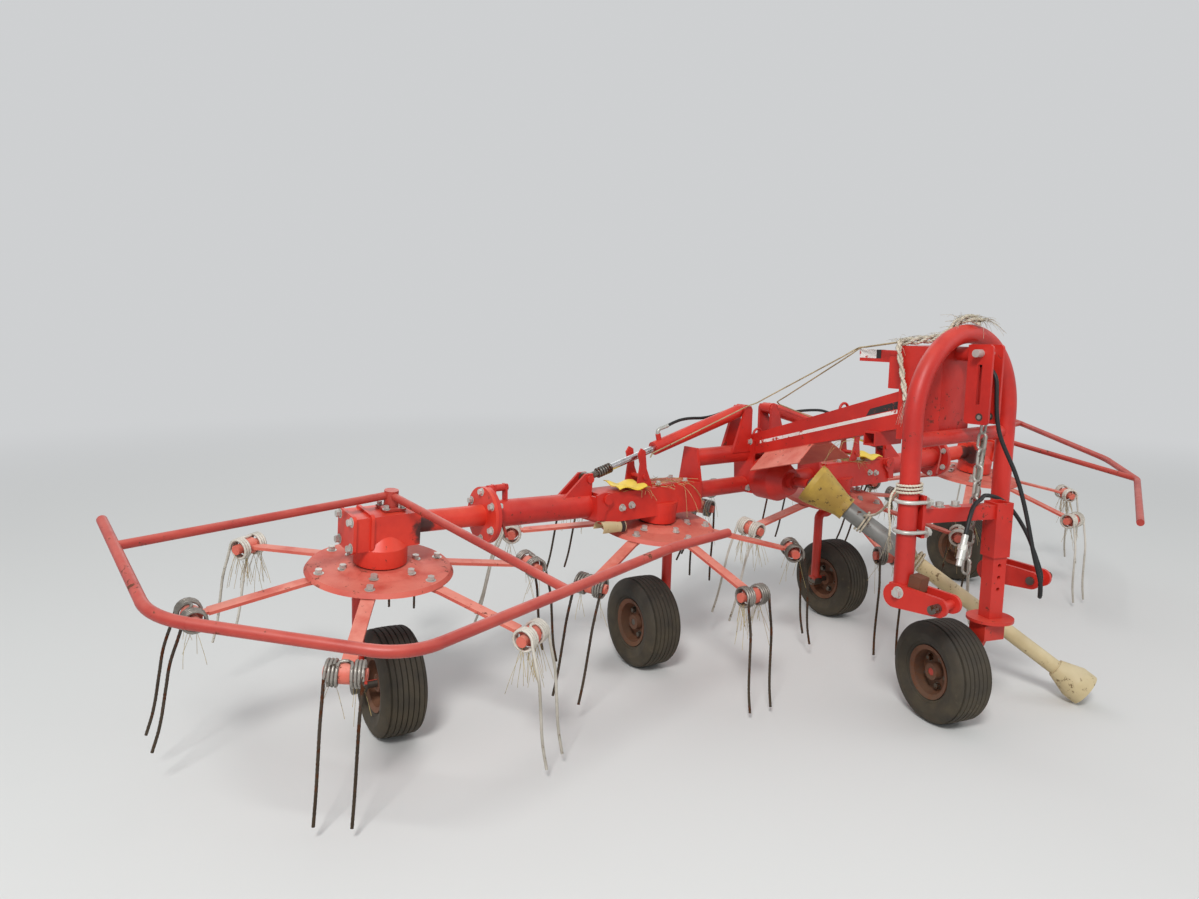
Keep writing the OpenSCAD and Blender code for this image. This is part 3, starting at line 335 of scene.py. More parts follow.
# %% The painted and metal finishes
FINISH = {
    "red": weathered("red_paint", (198, 40, 28), (176, 32, 24), (218, 92, 74), 0.40, rust=RED_RUST, rust_from=0.73),
    "box_red": weathered("casting_red", (208, 44, 28), (184, 34, 24), (216, 88, 66), 0.35, rust=RED_RUST,
                         rust_from=0.74),
    "greasy_red": weathered("greasy_red", (214, 56, 36), (196, 44, 30), (224, 104, 78), 0.4, rust=RED_RUST,
                            rust_from=0.74, greasy=[(spot(x, -45, 668), 0.062) for x in (-1522, 1522)]),
    "tube_red": weathered("sun_dulled_red", (176, 62, 50), (158, 46, 38), (200, 104, 90), 0.55, rust_from=0.69),
    "zinc": weathered("dull_zinc", (208, 207, 200), (176, 175, 168), rust_from=0.72, metal=0.45, rough=0.42,
                      earth=0.12),
    "wire": weathered("crop_worn_steel", (78, 68, 60), (58, 48, 42), rust_from=0.60, metal=0.8, rough=0.45),
    "steel": weathered("bare_steel", (120, 116, 110), (92, 86, 80), rust_from=0.60, metal=0.85, rough=0.42),
    "chain": weathered("chain_zinc", (182, 180, 172), (148, 144, 136), rust_from=0.66, metal=0.5, rough=0.42),
    "tube_grey": weathered("grey_shaft_tube", (142, 142, 138), (118, 118, 114), rust_from=0.70, metal=0.5,
                           rough=0.5),
    "rim": weathered("rusted_rim", (112, 66, 44), (86, 52, 38), rust_from=0.58, rough=0.8, spot_scale=26.0),
    "rubber": weathered("tyre_rubber", (34, 33, 33), (25, 25, 25), rust=(58, 53, 46), rust_from=0.74,
                        earth=0.50, rough=0.82, grain=0.0003),
    "black_hose": weathered("hose_rubber", (30, 30, 31), (22, 22, 23), rust=(62, 58, 52), rust_from=0.76,
                            rough=0.6, grain=0.0002),
    "yellow": weathered("cone_yellow", (196, 164, 66), (148, 118, 48), (216, 192, 104), 0.45,
                        rust=(92, 70, 38), rust_from=0.64, rough=0.6),
    "cream": weathered("tube_cream", (206, 188, 146), (188, 168, 124), (214, 202, 170), 0.5,
                       rust=(120, 98, 66), rust_from=0.66, rough=0.6),
    "hub_pink": weathered("hub_pink", (198, 86, 70), (182, 66, 52), (216, 126, 108), 0.7, rust=PINK_RUST,
                          rust_from=0.71, rough=0.62, greasy=[(spot(x, 0, 573), 0.088) for x in ROTOR_X]),
    "arm_pink": weathered("arm_paint", (210, 104, 86), (192, 80, 64), (226, 146, 128), 0.8, rust=PINK_RUST,
                          rust_from=0.70, rough=0.6),
    # Painted sheen: the coils' lighter grey stands in for the sun's glint on the dark wire.
    "coil": weathered("rubbed_coil", (156, 150, 142), (104, 98, 90), rust=(70, 58, 46), rust_from=0.68, metal=0.5,
                      rough=0.42, earth=0.08, spot_scale=60.0),
    # Painted highlight: the whole wire of the pairs that the sun lights, painted pale.
    "painted_lit_wire": weathered("new_spring_wire", (212, 206, 194), (168, 161, 148), rust=(104, 90, 72), rust_from=0.72,
                          metal=0.1, rough=0.5, earth=0.10, spot_scale=60.0),
    "rope": weathered("worn_rope", (212, 204, 186), (178, 166, 142), rust=(120, 104, 80), rust_from=0.70, rough=0.9,
                      grain=0.0005),
    "cord": weathered("thin_rope", (188, 170, 132), (150, 132, 98), rust=(104, 88, 62), rust_from=0.70, rough=0.9,
                      grain=0.0003),
    "hay": weathered("dry_hay", (204, 184, 130), (168, 142, 88), rust=(120, 98, 58), rust_from=0.66, rough=0.85,
                     grain=0.0002),
    "flap": weathered("flap_yellow", (238, 206, 58), (222, 186, 50), (246, 224, 120), 0.4, rust=(150, 124, 52),
                      rust_from=0.70, rough=0.5),
    "sticker_white": weathered("sticker_white", (228, 224, 220), (212, 204, 198), rust=(176, 60, 46), rust_from=0.66,
                               rough=0.55, grain=0.0002),
    "sticker_black": weathered("sticker_black", (38, 34, 34), (54, 44, 44), rust=(176, 50, 38), rust_from=0.66,
                               rough=0.5, grain=0.0002),
    "grey_bar": weathered("weathered_bar", (152, 148, 136), (118, 112, 100), rust_from=0.64, metal=0.3, rough=0.7),
}
print(len(FINISH), "finishes")

# %% [markdown]
# The chrome of the rams' rods is the one bright metal: a smooth tube with fine grease streaks.

# %% Chrome
def chrome_rod():
    w = Paint("rod_chrome")
    streaks = w.band(w.noise(30.0), 0.5, 0.75)
    w.fill(w.shader, Base_Color=w.mix(streaks, srgb(205, 205, 206), srgb(150, 146, 140)), Metallic=1.0,
           Roughness=w.math("MULTIPLY", w.noise(60.0), 0.45))
    w.bump(w.noise(200.0), 0.08, 0.0002)
    return w.material


FINISH["chrome"] = chrome_rod()
print("chrome ready")

# %% [markdown]
# Each CAD node gets its finish by the longest name below that its own name starts with.

# %% Finish of each CAD node
LOOK = dict.fromkeys(("main_beam", "cross_frame", "centre_gearbox", "hitch_arch", "top_link_bracket", "support_arm",
                      "support_post", "support_fork", "latch", "wing_arm", "leg", "warning_bar"), "red")
LOOK.update({
    "gearbox": "box_red", "gearbox_right_outer": "greasy_red", "gearbox_left_outer": "greasy_red",
    "ram_barrel": "box_red", "ram_rod": "chrome", "guard": "tube_red", "shaft_hood": "arm_pink", "rotor": "hub_pink",
    "tines": "wire", "rim": "rim", "support_rim": "rim", "tyre": "rubber", "support_tyre": "rubber",
    "lift_chain": "chain", "shaft_cone": "yellow", "shaft_outer_tube": "tube_grey", "shaft_inner_tube": "cream",
    "hose": "black_hose", "hose_coupler": "zinc",
})


def look_of(name):
    best = max((key for key in LOOK if name.startswith(key)), key=len)
    return FINISH[LOOK[best]]


for name, obj in nodes.items():
    obj.data.materials.clear()
    obj.data.materials.append(look_of(name))
print("dressed", len(nodes), "nodes")

# %% [markdown]
# ## Bolts
# Bolt heads hold the arms to the discs, the flanges together and the covers on the gearboxes. They are one
# hexagon on a washer, put on many points, so Geometry Nodes place them: each point carries the way its bolt
# looks and its size across flats. The result is made a plain mesh, one for each body that carries bolts. The
# sizes in the tree are shares of the size across flats.

# %% Geometry Nodes tree for bolt heads
def start_tree(name, **sockets):
    """A tree with a geometry input and output, and named inputs for its sizes."""
    tree = bpy.data.node_groups.new(name, "GeometryNodeTree")
    tree.interface.new_socket("Geometry", in_out="INPUT", socket_type="NodeSocketGeometry")
    tree.interface.new_socket("Geometry", in_out="OUTPUT", socket_type="NodeSocketGeometry")
    for label, kind in sockets.items():
        tree.interface.new_socket(label, in_out="INPUT", socket_type="NodeSocket" + kind)
    w = Wiring(tree)
    return w, w.node("NodeGroupInput").outputs


def end_tree(w, geometry, given):
    """Realize Instances and Set Material, which every tree ends in."""
    real = w.node("GeometryNodeRealizeInstances", Geometry=geometry)
    paint = w.node("GeometryNodeSetMaterial", Geometry=real.outputs[0], Material=given["Material"])
    w.node("NodeGroupOutput", (), paint.outputs[0])
    return w.tree


def bolt_tree():
    w, given = start_tree("bolt_heads", Height="Float", Material="Material")
    head = w.node("GeometryNodeMeshCylinder", Vertices=6, Radius=0.58, Depth=given["Height"])
    washer = w.node("GeometryNodeMeshCylinder", Vertices=16, Radius=0.82, Depth=0.14)
    lift = w.node("ShaderNodeCombineXYZ", Z=w.math("MULTIPLY_ADD", given["Height"], 0.5, 0.12))
    raised = w.node("GeometryNodeTransform", Geometry=head.outputs["Mesh"], Translation=lift.outputs[0])
    bolt = w.node("GeometryNodeJoinGeometry", Geometry=raised.outputs[0])
    w.feed(bolt.inputs[0], washer.outputs["Mesh"])
    aim = w.node("GeometryNodeInputNamedAttribute", {"data_type": "FLOAT_VECTOR"}, Name="aim")
    size = w.node("GeometryNodeInputNamedAttribute", {"data_type": "FLOAT"}, Name="across")
    face = w.node("FunctionNodeAlignRotationToVector", {"axis": "Z"}, Vector=aim.outputs["Attribute"])
    spread = w.node("GeometryNodeInstanceOnPoints", Points=given["Geometry"], Instance=bolt.outputs[0],
                    Rotation=face.outputs[0], Scale=size.outputs["Attribute"])
    return end_tree(w, spread.outputs[0], given)


BOLT_TREE = bolt_tree()


def grown(tree, name, source, inputs, body):
    """Runs a tree on source, keeps the result as a plain mesh named name, and lets it ride on body."""
    modifier = source.modifiers.new("grow", "NODES")
    modifier.node_group = tree
    for item in tree.interface.items_tree:
        if item.item_type == "SOCKET" and item.in_out == "INPUT" and item.name in inputs:
            modifier[item.identifier] = inputs[item.name]
    bpy.context.view_layer.update()
    evaluated = source.evaluated_get(bpy.context.evaluated_depsgraph_get())
    mesh = bpy.data.meshes.new_from_object(evaluated)
    bpy.data.objects.remove(source)
    mesh.name = name
    made = new_object(name, mesh)
    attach(made, body)
    return made


def bolts(name, body, places, finish="zinc", height=0.62):
    """places are (point, way it looks, size across flats in millimetres)."""
    source = new_mesh_object(name + "_points", [p for p, _, _ in places], [])
    source.data.attributes.new("aim", "FLOAT_VECTOR", "POINT")
    source.data.attributes.new("across", "FLOAT", "POINT")
    aim, across = (source.data.attributes[key].data for key in ("aim", "across"))
    for i, (_, way, size) in enumerate(places):
        aim[i].vector = way
        across[i].value = size / 1000.0
    made = grown(BOLT_TREE, name, source, {"Height": height, "Material": FINISH[finish]}, body)
    print(name, len(places), "bolts,", len(made.data.polygons), "faces")


print(BOLT_TREE.name, "has", len(BOLT_TREE.nodes), "nodes")

# %% Bolts through the discs, two for each arm
DISC_BOLTS = ((118.0, 4.0), (192.0, 0.3))

for number in ROTORS:
    places = []
    for turn in arm_turns(number):
        m = rotor_frame(number, turn)
        up_way = (m.to_3x3() @ Vector((0, 0, 1))).normalized()
        places += [(m @ Vector((reach, 0, high)), up_way, 19.0) for reach, high in DISC_BOLTS]
    bolts("disc_bolts_%d" % number, "reel_%d" % number, places)

# %% [markdown]
# ## Two finishes on one node
# Some CAD nodes carry more than one finish: a rotor's arms are paler than its hub, its leg is bare steel at the
# foot, pins are bare steel in painted plates, and the clamp's U-bolts are zinc. The faces are picked by place,
# and only their material index is changed.

# %% Arms, pins and clamps
X_WAY, Z_WAY = Vector((1, 0, 0)), Vector((0, 0, 1))
HITCH_HALF, PLATE_HALF = 0.27, 0.0405
CLAMP_HEIGHTS = (0.679, 0.775)


def second_finish(name, finish, wanted):
    """Gives the faces of a node whose middle wanted accepts a second finish."""
    mesh = nodes[name].data
    mesh.materials.append(FINISH[finish])
    index, count = len(mesh.materials) - 1, 0
    for polygon in mesh.polygons:
        if wanted(polygon.center):
            polygon.material_index = index
            count += 1
    print(name, count, "faces in", finish)


def off_line(p, start, way):
    """Distance from a line, in millimetres."""
    gap = p - start
    return (gap - way * gap.dot(way)).length * 1000.0


def on_hitch_pin(p):
    """On a lower hitch pin, and not inside the plates that hold it."""
    return off_line(p, spot(0, -1085, 472), X_WAY) < 15 and abs(abs(p.x - ROW_SHIFT.x) - HITCH_HALF) > PLATE_HALF


def on_clamp(p):
    near = off_line(p, spot(-270, -930, 0), Z_WAY) < 62
    return near and min(abs(p.z - high) for high in CLAMP_HEIGHTS) < 0.0072


for number in ROTORS:
    back = rotor_frame(number).inverted()
    second_finish("rotor_%d" % number, "arm_pink", lambda p: (back @ p).z < -14.5 and (back @ p).xy.length > 90)
    second_finish("leg_%d" % number, "steel", lambda p: p.z < 0.185)
second_finish("hitch_arch", "steel", on_hitch_pin)
second_finish("top_link_bracket", "zinc", lambda p: off_line(p, spot(0, -1000, 1240), X_WAY) < 13.5)
second_finish("support_arm", "zinc", on_clamp)
for side, x_hand in SIDES:
    second_finish("ram_rod_" + side, "steel", lambda p: (p - spot(x_hand * 857, 0, 762)).length < 0.125)

# %% [markdown]
# ## Tyres
# The tyres are ribbed implement tyres: six ribs run round the tread, with grooves between them, and the
# shoulders are rounded. A tyre is one outline turned about its axle, so the outline is written as points and
# turned here, at the places and along the axles that the wheel joints give. It replaces the plain CAD tyre.
# The helpers for closed shapes, which later pieces share, stand here too.

# %% A closed outline turned about an axle
def turned_ring(name, outline, centre, axle, steps=96):
    """outline is (radius, distance along the axle) in millimetres, going round the section."""
    x, y, z = axes_about(axle)
    points, faces, n = [], [], len(outline)
    for i in range(steps):
        angle = 2 * math.pi * i / steps
        out = x * math.cos(angle) + y * math.sin(angle)
        points += [Vector(centre) + out * (r / 1000) + z * (w / 1000) for r, w in outline]
    for i in range(steps):
        for k in range(n):
            a, b = i * n + k, i * n + (k + 1) % n
            c, d = ((i + 1) % steps) * n + (k + 1) % n, ((i + 1) % steps) * n + k
            faces.append((a, b, c, d))
    obj = new_mesh_object(name, points, faces)
    outward(obj)
    return obj


def outward(obj):
    """Merges doubles and turns every face outwards."""
    bm = bmesh.new()
    bm.from_mesh(obj.data)
    bmesh.ops.remove_doubles(bm, verts=bm.verts, dist=0.000005)
    bmesh.ops.recalc_face_normals(bm, faces=bm.faces)
    bm.to_mesh(obj.data)
    bm.free()


def soft_edges(obj, degrees=38.0):
    """Smooth shading with the sharp edges kept sharp."""
    bm = bmesh.new()
    bm.from_mesh(obj.data)
    for face in bm.faces:
        face.smooth = True
    for edge in bm.edges:
        edge.smooth = len(edge.link_faces) == 2 and edge.calc_face_angle(0.0) < math.radians(degrees)
    bm.to_mesh(obj.data)
    bm.free()


def dressed(obj, finish, body):
    """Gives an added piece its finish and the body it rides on."""
    obj.data.materials.append(FINISH[finish])
    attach(obj, body)
    return obj


print("helpers for closed shapes ready")

# %% The tyres
TYRE_R, BEAD_R, RIB_STEP = 172.5, 85.0, 17.0


def tyre_outline():
    side = [(BEAD_R, 48.0), (BEAD_R + 6, 51.5), (BEAD_R + 12, 58.5), (BEAD_R + 16, 59.5), (BEAD_R + 19, 64.5),
            (BEAD_R + 30, 70.0), (BEAD_R + 44, 72.3), (BEAD_R + 47, 73.4), (BEAD_R + 50, 73.4), (BEAD_R + 53, 72.2),
            (BEAD_R + 66, 69.5), (TYRE_R - 14, 65.5), (TYRE_R - 9, 62.5), (TYRE_R - 6, 59.0), (TYRE_R - 3.6, 55.0)]
    ribs = []
    for i in range(6):
        low = 3 * RIB_STEP - RIB_STEP * i
        crown = TYRE_R - 0.0009 * (low - RIB_STEP / 2) ** 2
        ribs += [(crown - 6.0, low + 1.6), (crown, low + 0.2), (crown, low - 13.0), (crown - 6.0, low - 14.4)]
    return side + ribs + [(r, -w) for r, w in reversed(side)]


for node, _, joint_name, body in WHEELS:
    joint = joints[joint_name]
    tyre = turned_ring("ribbed_" + node, tyre_outline(), joint["pos_m"], joint["axis"])
    soft_edges(tyre, 32.0)
    dressed(tyre, "rubber", body)
    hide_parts(node)
print("tyre faces", len(tyre.data.polygons))

# %% [markdown]
# ## Stripes on the beam
# A white line runs up both sides of the beam, with a black band over it near the mast. They are stickers: thin
# sheets that lie on the paint. Their corners are given along the beam and up, in millimetres.

# %% Stickers on both sides of the beam
STRIPE = [(-79, 842), (-738, 1029), (-738, 1042), (-79, 855)]
BAND = [(-585, 1001.5), (-738, 1045), (-738, 1072), (-600, 1028)]


def sheet_piece(name, outline, normal, thickness, finish):
    """A flat sheet on the frame: outline in metres, thickened along normal by millimetres."""
    lift = Vector(normal).normalized() * (thickness / 1000.0)
    n = len(outline)
    points = [Vector(p) for p in outline] + [Vector(p) + lift for p in outline]
    faces = [tuple(range(n)), tuple(range(2 * n - 1, n - 1, -1))]
    faces += [(i, (i + 1) % n, n + (i + 1) % n, n + i) for i in range(n)]
    obj = new_mesh_object(name, points, faces)
    outward(obj)
    dressed(obj, finish, "frame")


for side, x_hand in SIDES:
    for label, outline in (("white", STRIPE), ("black", BAND)):
        sheet_piece("stripe_%s_%s" % (label, side), [spot(x_hand * 50.1, y, z) for y, z in outline], (x_hand, 0, 0),
                    0.5, "sticker_" + label)
print("stripes laid")

# %% [markdown]
# ## Ropes
# A worn white rope is wound round the top of the arch, and pull ropes run from it to the two latches. A laid
# rope is three strands twisted together, so its section is a lobed outline that turns as it goes along.
# Geometry Nodes sweep that outline along a path, with the pitch and the size as named inputs. The radius swells
# and shrinks once in four points of the outline, which makes three lobes on its twelve points.

# %% Geometry Nodes tree for laid rope
STEPS_PER_PITCH, POINTS_PER_LOBE = 10, 4


def rope_tree():
    w, given = start_tree("laid_rope", Radius="Float", Pitch="Float", Lobe="Float", Sides="Int", Material="Material")
    curve = w.node("GeometryNodeMeshToCurve", Mesh=given["Geometry"])
    smooth = w.node("GeometryNodeCurveSplineType", {"spline_type": "BEZIER"}, Curve=curve.outputs["Curve"])
    handles = w.node("GeometryNodeCurveSetHandles", {"handle_type": "AUTO"}, Curve=smooth.outputs["Curve"])
    fine = w.node("GeometryNodeResampleCurve", {"mode": "LENGTH"}, Curve=handles.outputs["Curve"],
                  Length=w.math("MULTIPLY", given["Pitch"], 1 / STEPS_PER_PITCH))
    along = w.node("GeometryNodeSplineParameter")
    turns = w.math("DIVIDE", along.outputs["Length"], given["Pitch"])
    tilt = w.node("GeometryNodeSetCurveTilt", Curve=fine.outputs["Curve"], Tilt=w.math("MULTIPLY", turns, 2 * math.pi))
    ring = w.node("GeometryNodeCurvePrimitiveCircle", {"mode": "RADIUS"}, Resolution=given["Sides"],
                  Radius=given["Radius"])
    index = w.node("GeometryNodeInputIndex")
    wave = w.math("COSINE", w.math("MULTIPLY", index.outputs[0], 2 * math.pi / POINTS_PER_LOBE))
    depth = w.math("MULTIPLY_ADD", wave, given["Lobe"], w.math("SUBTRACT", 1.0, given["Lobe"]))
    lobes = w.fill(w.vectors("SCALE", w.node("GeometryNodeInputPosition").outputs[0]), Scale=depth)
    section = w.node("GeometryNodeSetPosition", Geometry=ring.outputs["Curve"], Position=lobes.outputs[0])
    sweep = w.node("GeometryNodeCurveToMesh", Curve=tilt.outputs["Curve"], Profile_Curve=section.outputs["Geometry"],
                   Fill_Caps=True)
    shade = w.node("GeometryNodeSetShadeSmooth", Geometry=sweep.outputs["Mesh"])
    return end_tree(w, shade.outputs[0], given)


ROPE_TREE = rope_tree()


def rope(name, body, paths, thickness, finish, pitch=0.030, lobe=0.16, sides=12):
    """Sweeps a laid rope along each path. With lobe 0 it is a plain hose or, with three sides, a straw."""
    points, edges = [], []
    for path in paths:
        edges += [(len(points) + i, len(points) + i + 1) for i in range(len(path) - 1)]
        points += path
    made = grown(ROPE_TREE, name, new_mesh_object(name + "_path", points, [], edges),
                 {"Radius": thickness / 2000.0, "Pitch": pitch, "Lobe": lobe, "Sides": sides,
                  "Material": FINISH[finish]}, body)
    print(name, len(paths), "paths,", len(made.data.polygons), "faces")
    return made


def round_bar(name, body, points, thickness, finish):
    """A smooth bent bar or hose along one path."""
    rope(name, body, [points], thickness, finish, pitch=0.06, lobe=0.0)


def smoothed(points, per=4):
    """A Catmull-Rom curve through the points, with per steps between two of them."""
    pts = [2 * points[0] - points[1]] + list(points) + [2 * points[-1] - points[-2]]
    out = []
    for a, b, c, d in zip(pts, pts[1:], pts[2:], pts[3:]):
        for k in range(per):
            t = k / per
            out.append(0.5 * (2 * b + (c - a) * t + (2 * a - 5 * b + 4 * c - d) * t * t
                              + (3 * b - a - 3 * c + d) * t ** 3))
    return out + [points[-1].copy()]


print(ROPE_TREE.name, "has", len(ROPE_TREE.nodes), "nodes")

# %% [markdown]
# ## The hose
# One hydraulic hose hangs from the top link's bracket. It leaves a fitting there, falls in front of the support
# arm, makes a narrow loop by the left foot of the arch and comes back over the arm to its quick coupler. Its
# route is the same as in CAD; here it is smooth.

# %% Hose and quick coupler
HOSE = [
    (0, -976, 1202), (0, -1001, 1198), (0, -1020, 1186), (1, -1033, 1168), (2, -1039, 1145), (5, -1041, 1096),
    (9, -1044, 1044), (18, -1050, 992), (30, -1060, 951), (42, -1075, 910), (54, -1091, 868), (64, -1106, 822),
    (72, -1119, 774), (80, -1131, 722), (86, -1142, 671), (92, -1152, 622), (99, -1162, 576), (107, -1171, 538),
    (114, -1177, 503), (127, -1173, 469), (153, -1159, 448), (184, -1143, 448), (210, -1129, 470), (220, -1123, 504),
    (213, -1111, 546), (206, -1096, 588), (198, -1080, 629), (189, -1061, 666), (177, -1041, 700), (159, -1020, 732),
    (133, -1001, 753), (101, -990, 763), (67, -990, 767), (36, -1001, 767), (9, -1012, 765), (-36, -1024, 761),
    (-79, -1038, 752), (-106, -1047, 731), (-124, -1051, 703), (-138, -1054, 672)]
hose_route = smoothed(spots(*HOSE))
hose = rope("smooth_hose", "frame", [hose_route], 14.0, "black_hose", pitch=0.08, lobe=0.0, sides=16)
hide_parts("hose")
hose_length = sum((b - a).length for a, b in zip(hose_route, hose_route[1:]))
tuple(hose_route[0])
[tuple(p) for p in hose_route]
print("hose", round(hose_length, 3), "m long")

# %% [markdown]
# ## The white rope
# A thick rope was slung over the mast and the arch and left there: three worn strands laid side by side, with
# frayed fibres standing off, and a tail down the mast. Thin pull ropes go from it over the warning bar to the
# two latches, and two ties hold the drive shaft up to the arch's right-hand leg.

# %% Fibres, straws and strands
def straws(seed, centre, spread, count, length, droop, heading=None):
    """Thin bent paths: they start near centre, lie or stand toward heading, and droop by a share of length."""
    rng = random.Random(seed)
    paths = []
    for _ in range(count):
        start = centre + Vector([rng.uniform(-s, s) for s in spread])
        turn = rng.uniform(0, 2 * math.pi)
        way = Vector((math.cos(turn), math.sin(turn), 0.0))
        if heading is not None:
            way = (Vector(heading) + way * 0.5 + Vector((0, 0, rng.uniform(-0.3, 0.3)))).normalized()
        reach = length * rng.uniform(0.4, 1.0)
        curl = Vector((rng.uniform(-1, 1), rng.uniform(-1, 1), 0.0)) * reach * 0.25
        fall = Vector((0, 0, -1)) * reach * droop * rng.uniform(0.5, 1.0)
        paths.append([start + way * reach * t + curl * t * t + fall * t * t for t in (0.0, 0.25, 0.5, 0.75, 1.0)])
    return paths


def strand(points, offset, phase, pitch):
    """The same path, wound about its own line at a distance of offset."""
    line = smoothed(points, 8)
    out, gone = [], 0.0
    for i, p in enumerate(line):
        ahead_way = (line[min(i + 1, len(line) - 1)] - line[max(i - 1, 0)]).normalized()
        side = ahead_way.cross(Vector((0, 0, 1))).normalized()
        rise = side.cross(ahead_way)
        gone += (p - line[i - 1]).length if i else 0.0
        angle = phase + 2 * math.pi * gone / pitch
        out.append(p + (side * math.cos(angle) + rise * math.sin(angle)) * offset)
    return out


def thin(name, body, paths, thickness, finish, pitch=0.2):
    """Sweeps straws or fibres, which have three sides."""
    return rope(name, body, paths, thickness, finish, pitch=pitch, lobe=0.0, sides=3)


print("helpers for strands and straws ready")

# %% The thick rope over the arch
over_arch = spots((-84, -728, 1266), (-66, -770, 1273), (-50, -820, 1280), (-38, -872, 1296), (-24, -912, 1342),
                  (-2, -940, 1349), (16, -962, 1338))
tail = spots((-80, -735, 1272), (-98, -738, 1262), (-101, -742, 1236), (-99, -752, 1190), (-98, -762, 1140),
             (-97, -772, 1094), (-96, -776, 1074))
thick = [strand(over_arch, 0.0085, k * 2 * math.pi / 3, 0.13) for k in range(3)]
thick += [strand(tail, 0.0045, k * math.pi, 0.09) for k in range(2)]
rope("arch_rope", "frame", thick, 12.0, "rope", pitch=0.034)
frayed = []
for i, p in enumerate(smoothed(over_arch, 3)):
    frayed += straws(100 + i, p + Vector((0, 0, 0.012)), (0.012, 0.012, 0.004), 7, 0.045, 0.2)
for p, count, seed in ((over_arch[-1], 34, 7), (over_arch[4], 26, 8), (over_arch[0], 14, 9)):
    frayed += straws(seed, p + Vector((0, 0, 0.005)), (0.008, 0.008, 0.004), count, 0.080, 0.9, (0.2, -0.1, 0.22))
frayed += straws(10, tail[-1], (0.006, 0.006, 0.004), 18, 0.060, 1.2, (0, 0, -1))
thin("frayed_ends", "frame", frayed, 1.1, "rope", pitch=0.12)

# %% Pull ropes to the latches
for side, x_hand in SIDES:
    line = spots((-84 if x_hand < 0 else -70, -728, 1268), (-14 + 6 * x_hand, -516, 1241), (x_hand * 62, -60, 1004),
                 (x_hand * 92, -44, 992), (x_hand * 585, -43, 836), (x_hand * 592, -42, 822))
    taut = [a.lerp(b, t / 8) for a, b in zip(line, line[1:]) for t in range(8)] + [line[-1]]
    rope("pull_rope_" + side, "frame", [taut], 6.0, "cord", pitch=0.022)

# %% [markdown]
# Each tie is wound three times round the arch's leg and twice round the shaft, and sags between them. One end
# hangs loose at the leg and is frayed.

# %% Ties from the arch's leg to the drive shaft
LOOP_STEPS = 20


def loop_round(centre, axis, radius, turns, climb):
    x, y, z = axes_about(axis)
    path = []
    for i in range(int(LOOP_STEPS * turns) + 1):
        angle = 2 * math.pi * i / LOOP_STEPS
        path.append(centre + (x * math.cos(angle) + y * math.sin(angle)) * radius + z * (climb * i / LOOP_STEPS))
    return path


shaft_from, shaft_to = spot(0, -330, 706), spot(492, -1178, 52)
shaft_way = (shaft_to - shaft_from).normalized()
leg_top = spot(-270, -930, 801)
sag = Vector((0, 0, -0.030))
ties = [loop_round(leg_top, (0, 0, 1), 0.038, 3.0, 0.011)]
for reach, high in ((0.215, 12), (0.452, 0)):
    middle = shaft_from + shaft_way * reach
    ties.append(loop_round(middle, shaft_way, 0.041, 2.0, 0.012))
    start = leg_top + Vector((0.020, 0.036, 0.008 + high / 1000))
    end = middle + Vector((-0.020, -0.028, 0.024))
    ties.append([start, start.lerp(end, 0.3) + sag * 0.8, start.lerp(end, 0.65) + sag, end])
loose_end = [leg_top + Vector(p) for p in ((-0.030, 0.026, 0.014), (-0.044, 0.034, -0.012), (-0.047, 0.036, -0.060),
                                           (-0.040, 0.034, -0.105), (-0.046, 0.030, -0.140))]
ties.append(smoothed(loose_end))
rope("shaft_ties", "frame", ties, 9.0, "rope", pitch=0.028)
frayed = straws(11, loose_end[-1], (0.004, 0.004, 0.003), 16, 0.045, 1.0, (0, 0, -1))
thin("frayed_tie", "frame", frayed, 1.1, "rope", pitch=0.12)

# %% [markdown]
# ## Spring tines
# A spring tine is one length of wire: up one tine, three turns of a coil, over the arm, three turns back and
# down the other tine. CAD shows the coils as stacked rings, and here the wire really winds. The path is written
# as points in the rotor's frame and swept by the same tree, and the six pairs of a rotor replace its CAD node.
#
# The crop has worn the springs dark. Their coils are painted a lighter grey: a painted sheen, where the sun
# glints on the wire. The whole wire of some pairs is painted pale: a painted highlight on the pairs that the sun
# lights. The table below lists their arms for each rotor.

# %% Wire of the spring tines
COIL_R, COIL_END, TURNS, WIRE, TURN_STEPS = 32.75, 48.2, 3.25, 9.5, 18
REACH, DROP = 548.0, 75.0
# Arms of each rotor whose pairs are painted pale, as a painted highlight where the sun lights them.
PAINTED_LIT_PAIRS = {1: (2, 5), 2: (2,), 3: (3, 5), 4: (0, 4, 5)}
# Material slots of the springs: dark wire, coils with a painted sheen, pairs with a painted highlight.
WORN_FACE, SHEEN_COIL_FACE, PAINTED_LIT_FACE = 0, 1, 2


def tine_path():
    """One pair about its boss, in millimetres: X away from the rotor's axis, Y along the coil, Z up."""
    half = [(x, COIL_END, z) for x, z in ((115.0, -372.0), (95.6, -302.0), (76.2, -180.0), (66.5, -116.0),
                                          (57.0, -80.0), (44.0, -40.0))]
    for i in range(int(TURNS * TURN_STEPS) + 1):
        a = 2 * math.pi * i / TURN_STEPS
        half.append((COIL_R * math.cos(a), COIL_END - WIRE * i / TURN_STEPS, COIL_R * math.sin(a)))
    return half + [(x, -y, z) for x, y, z in reversed(half)]


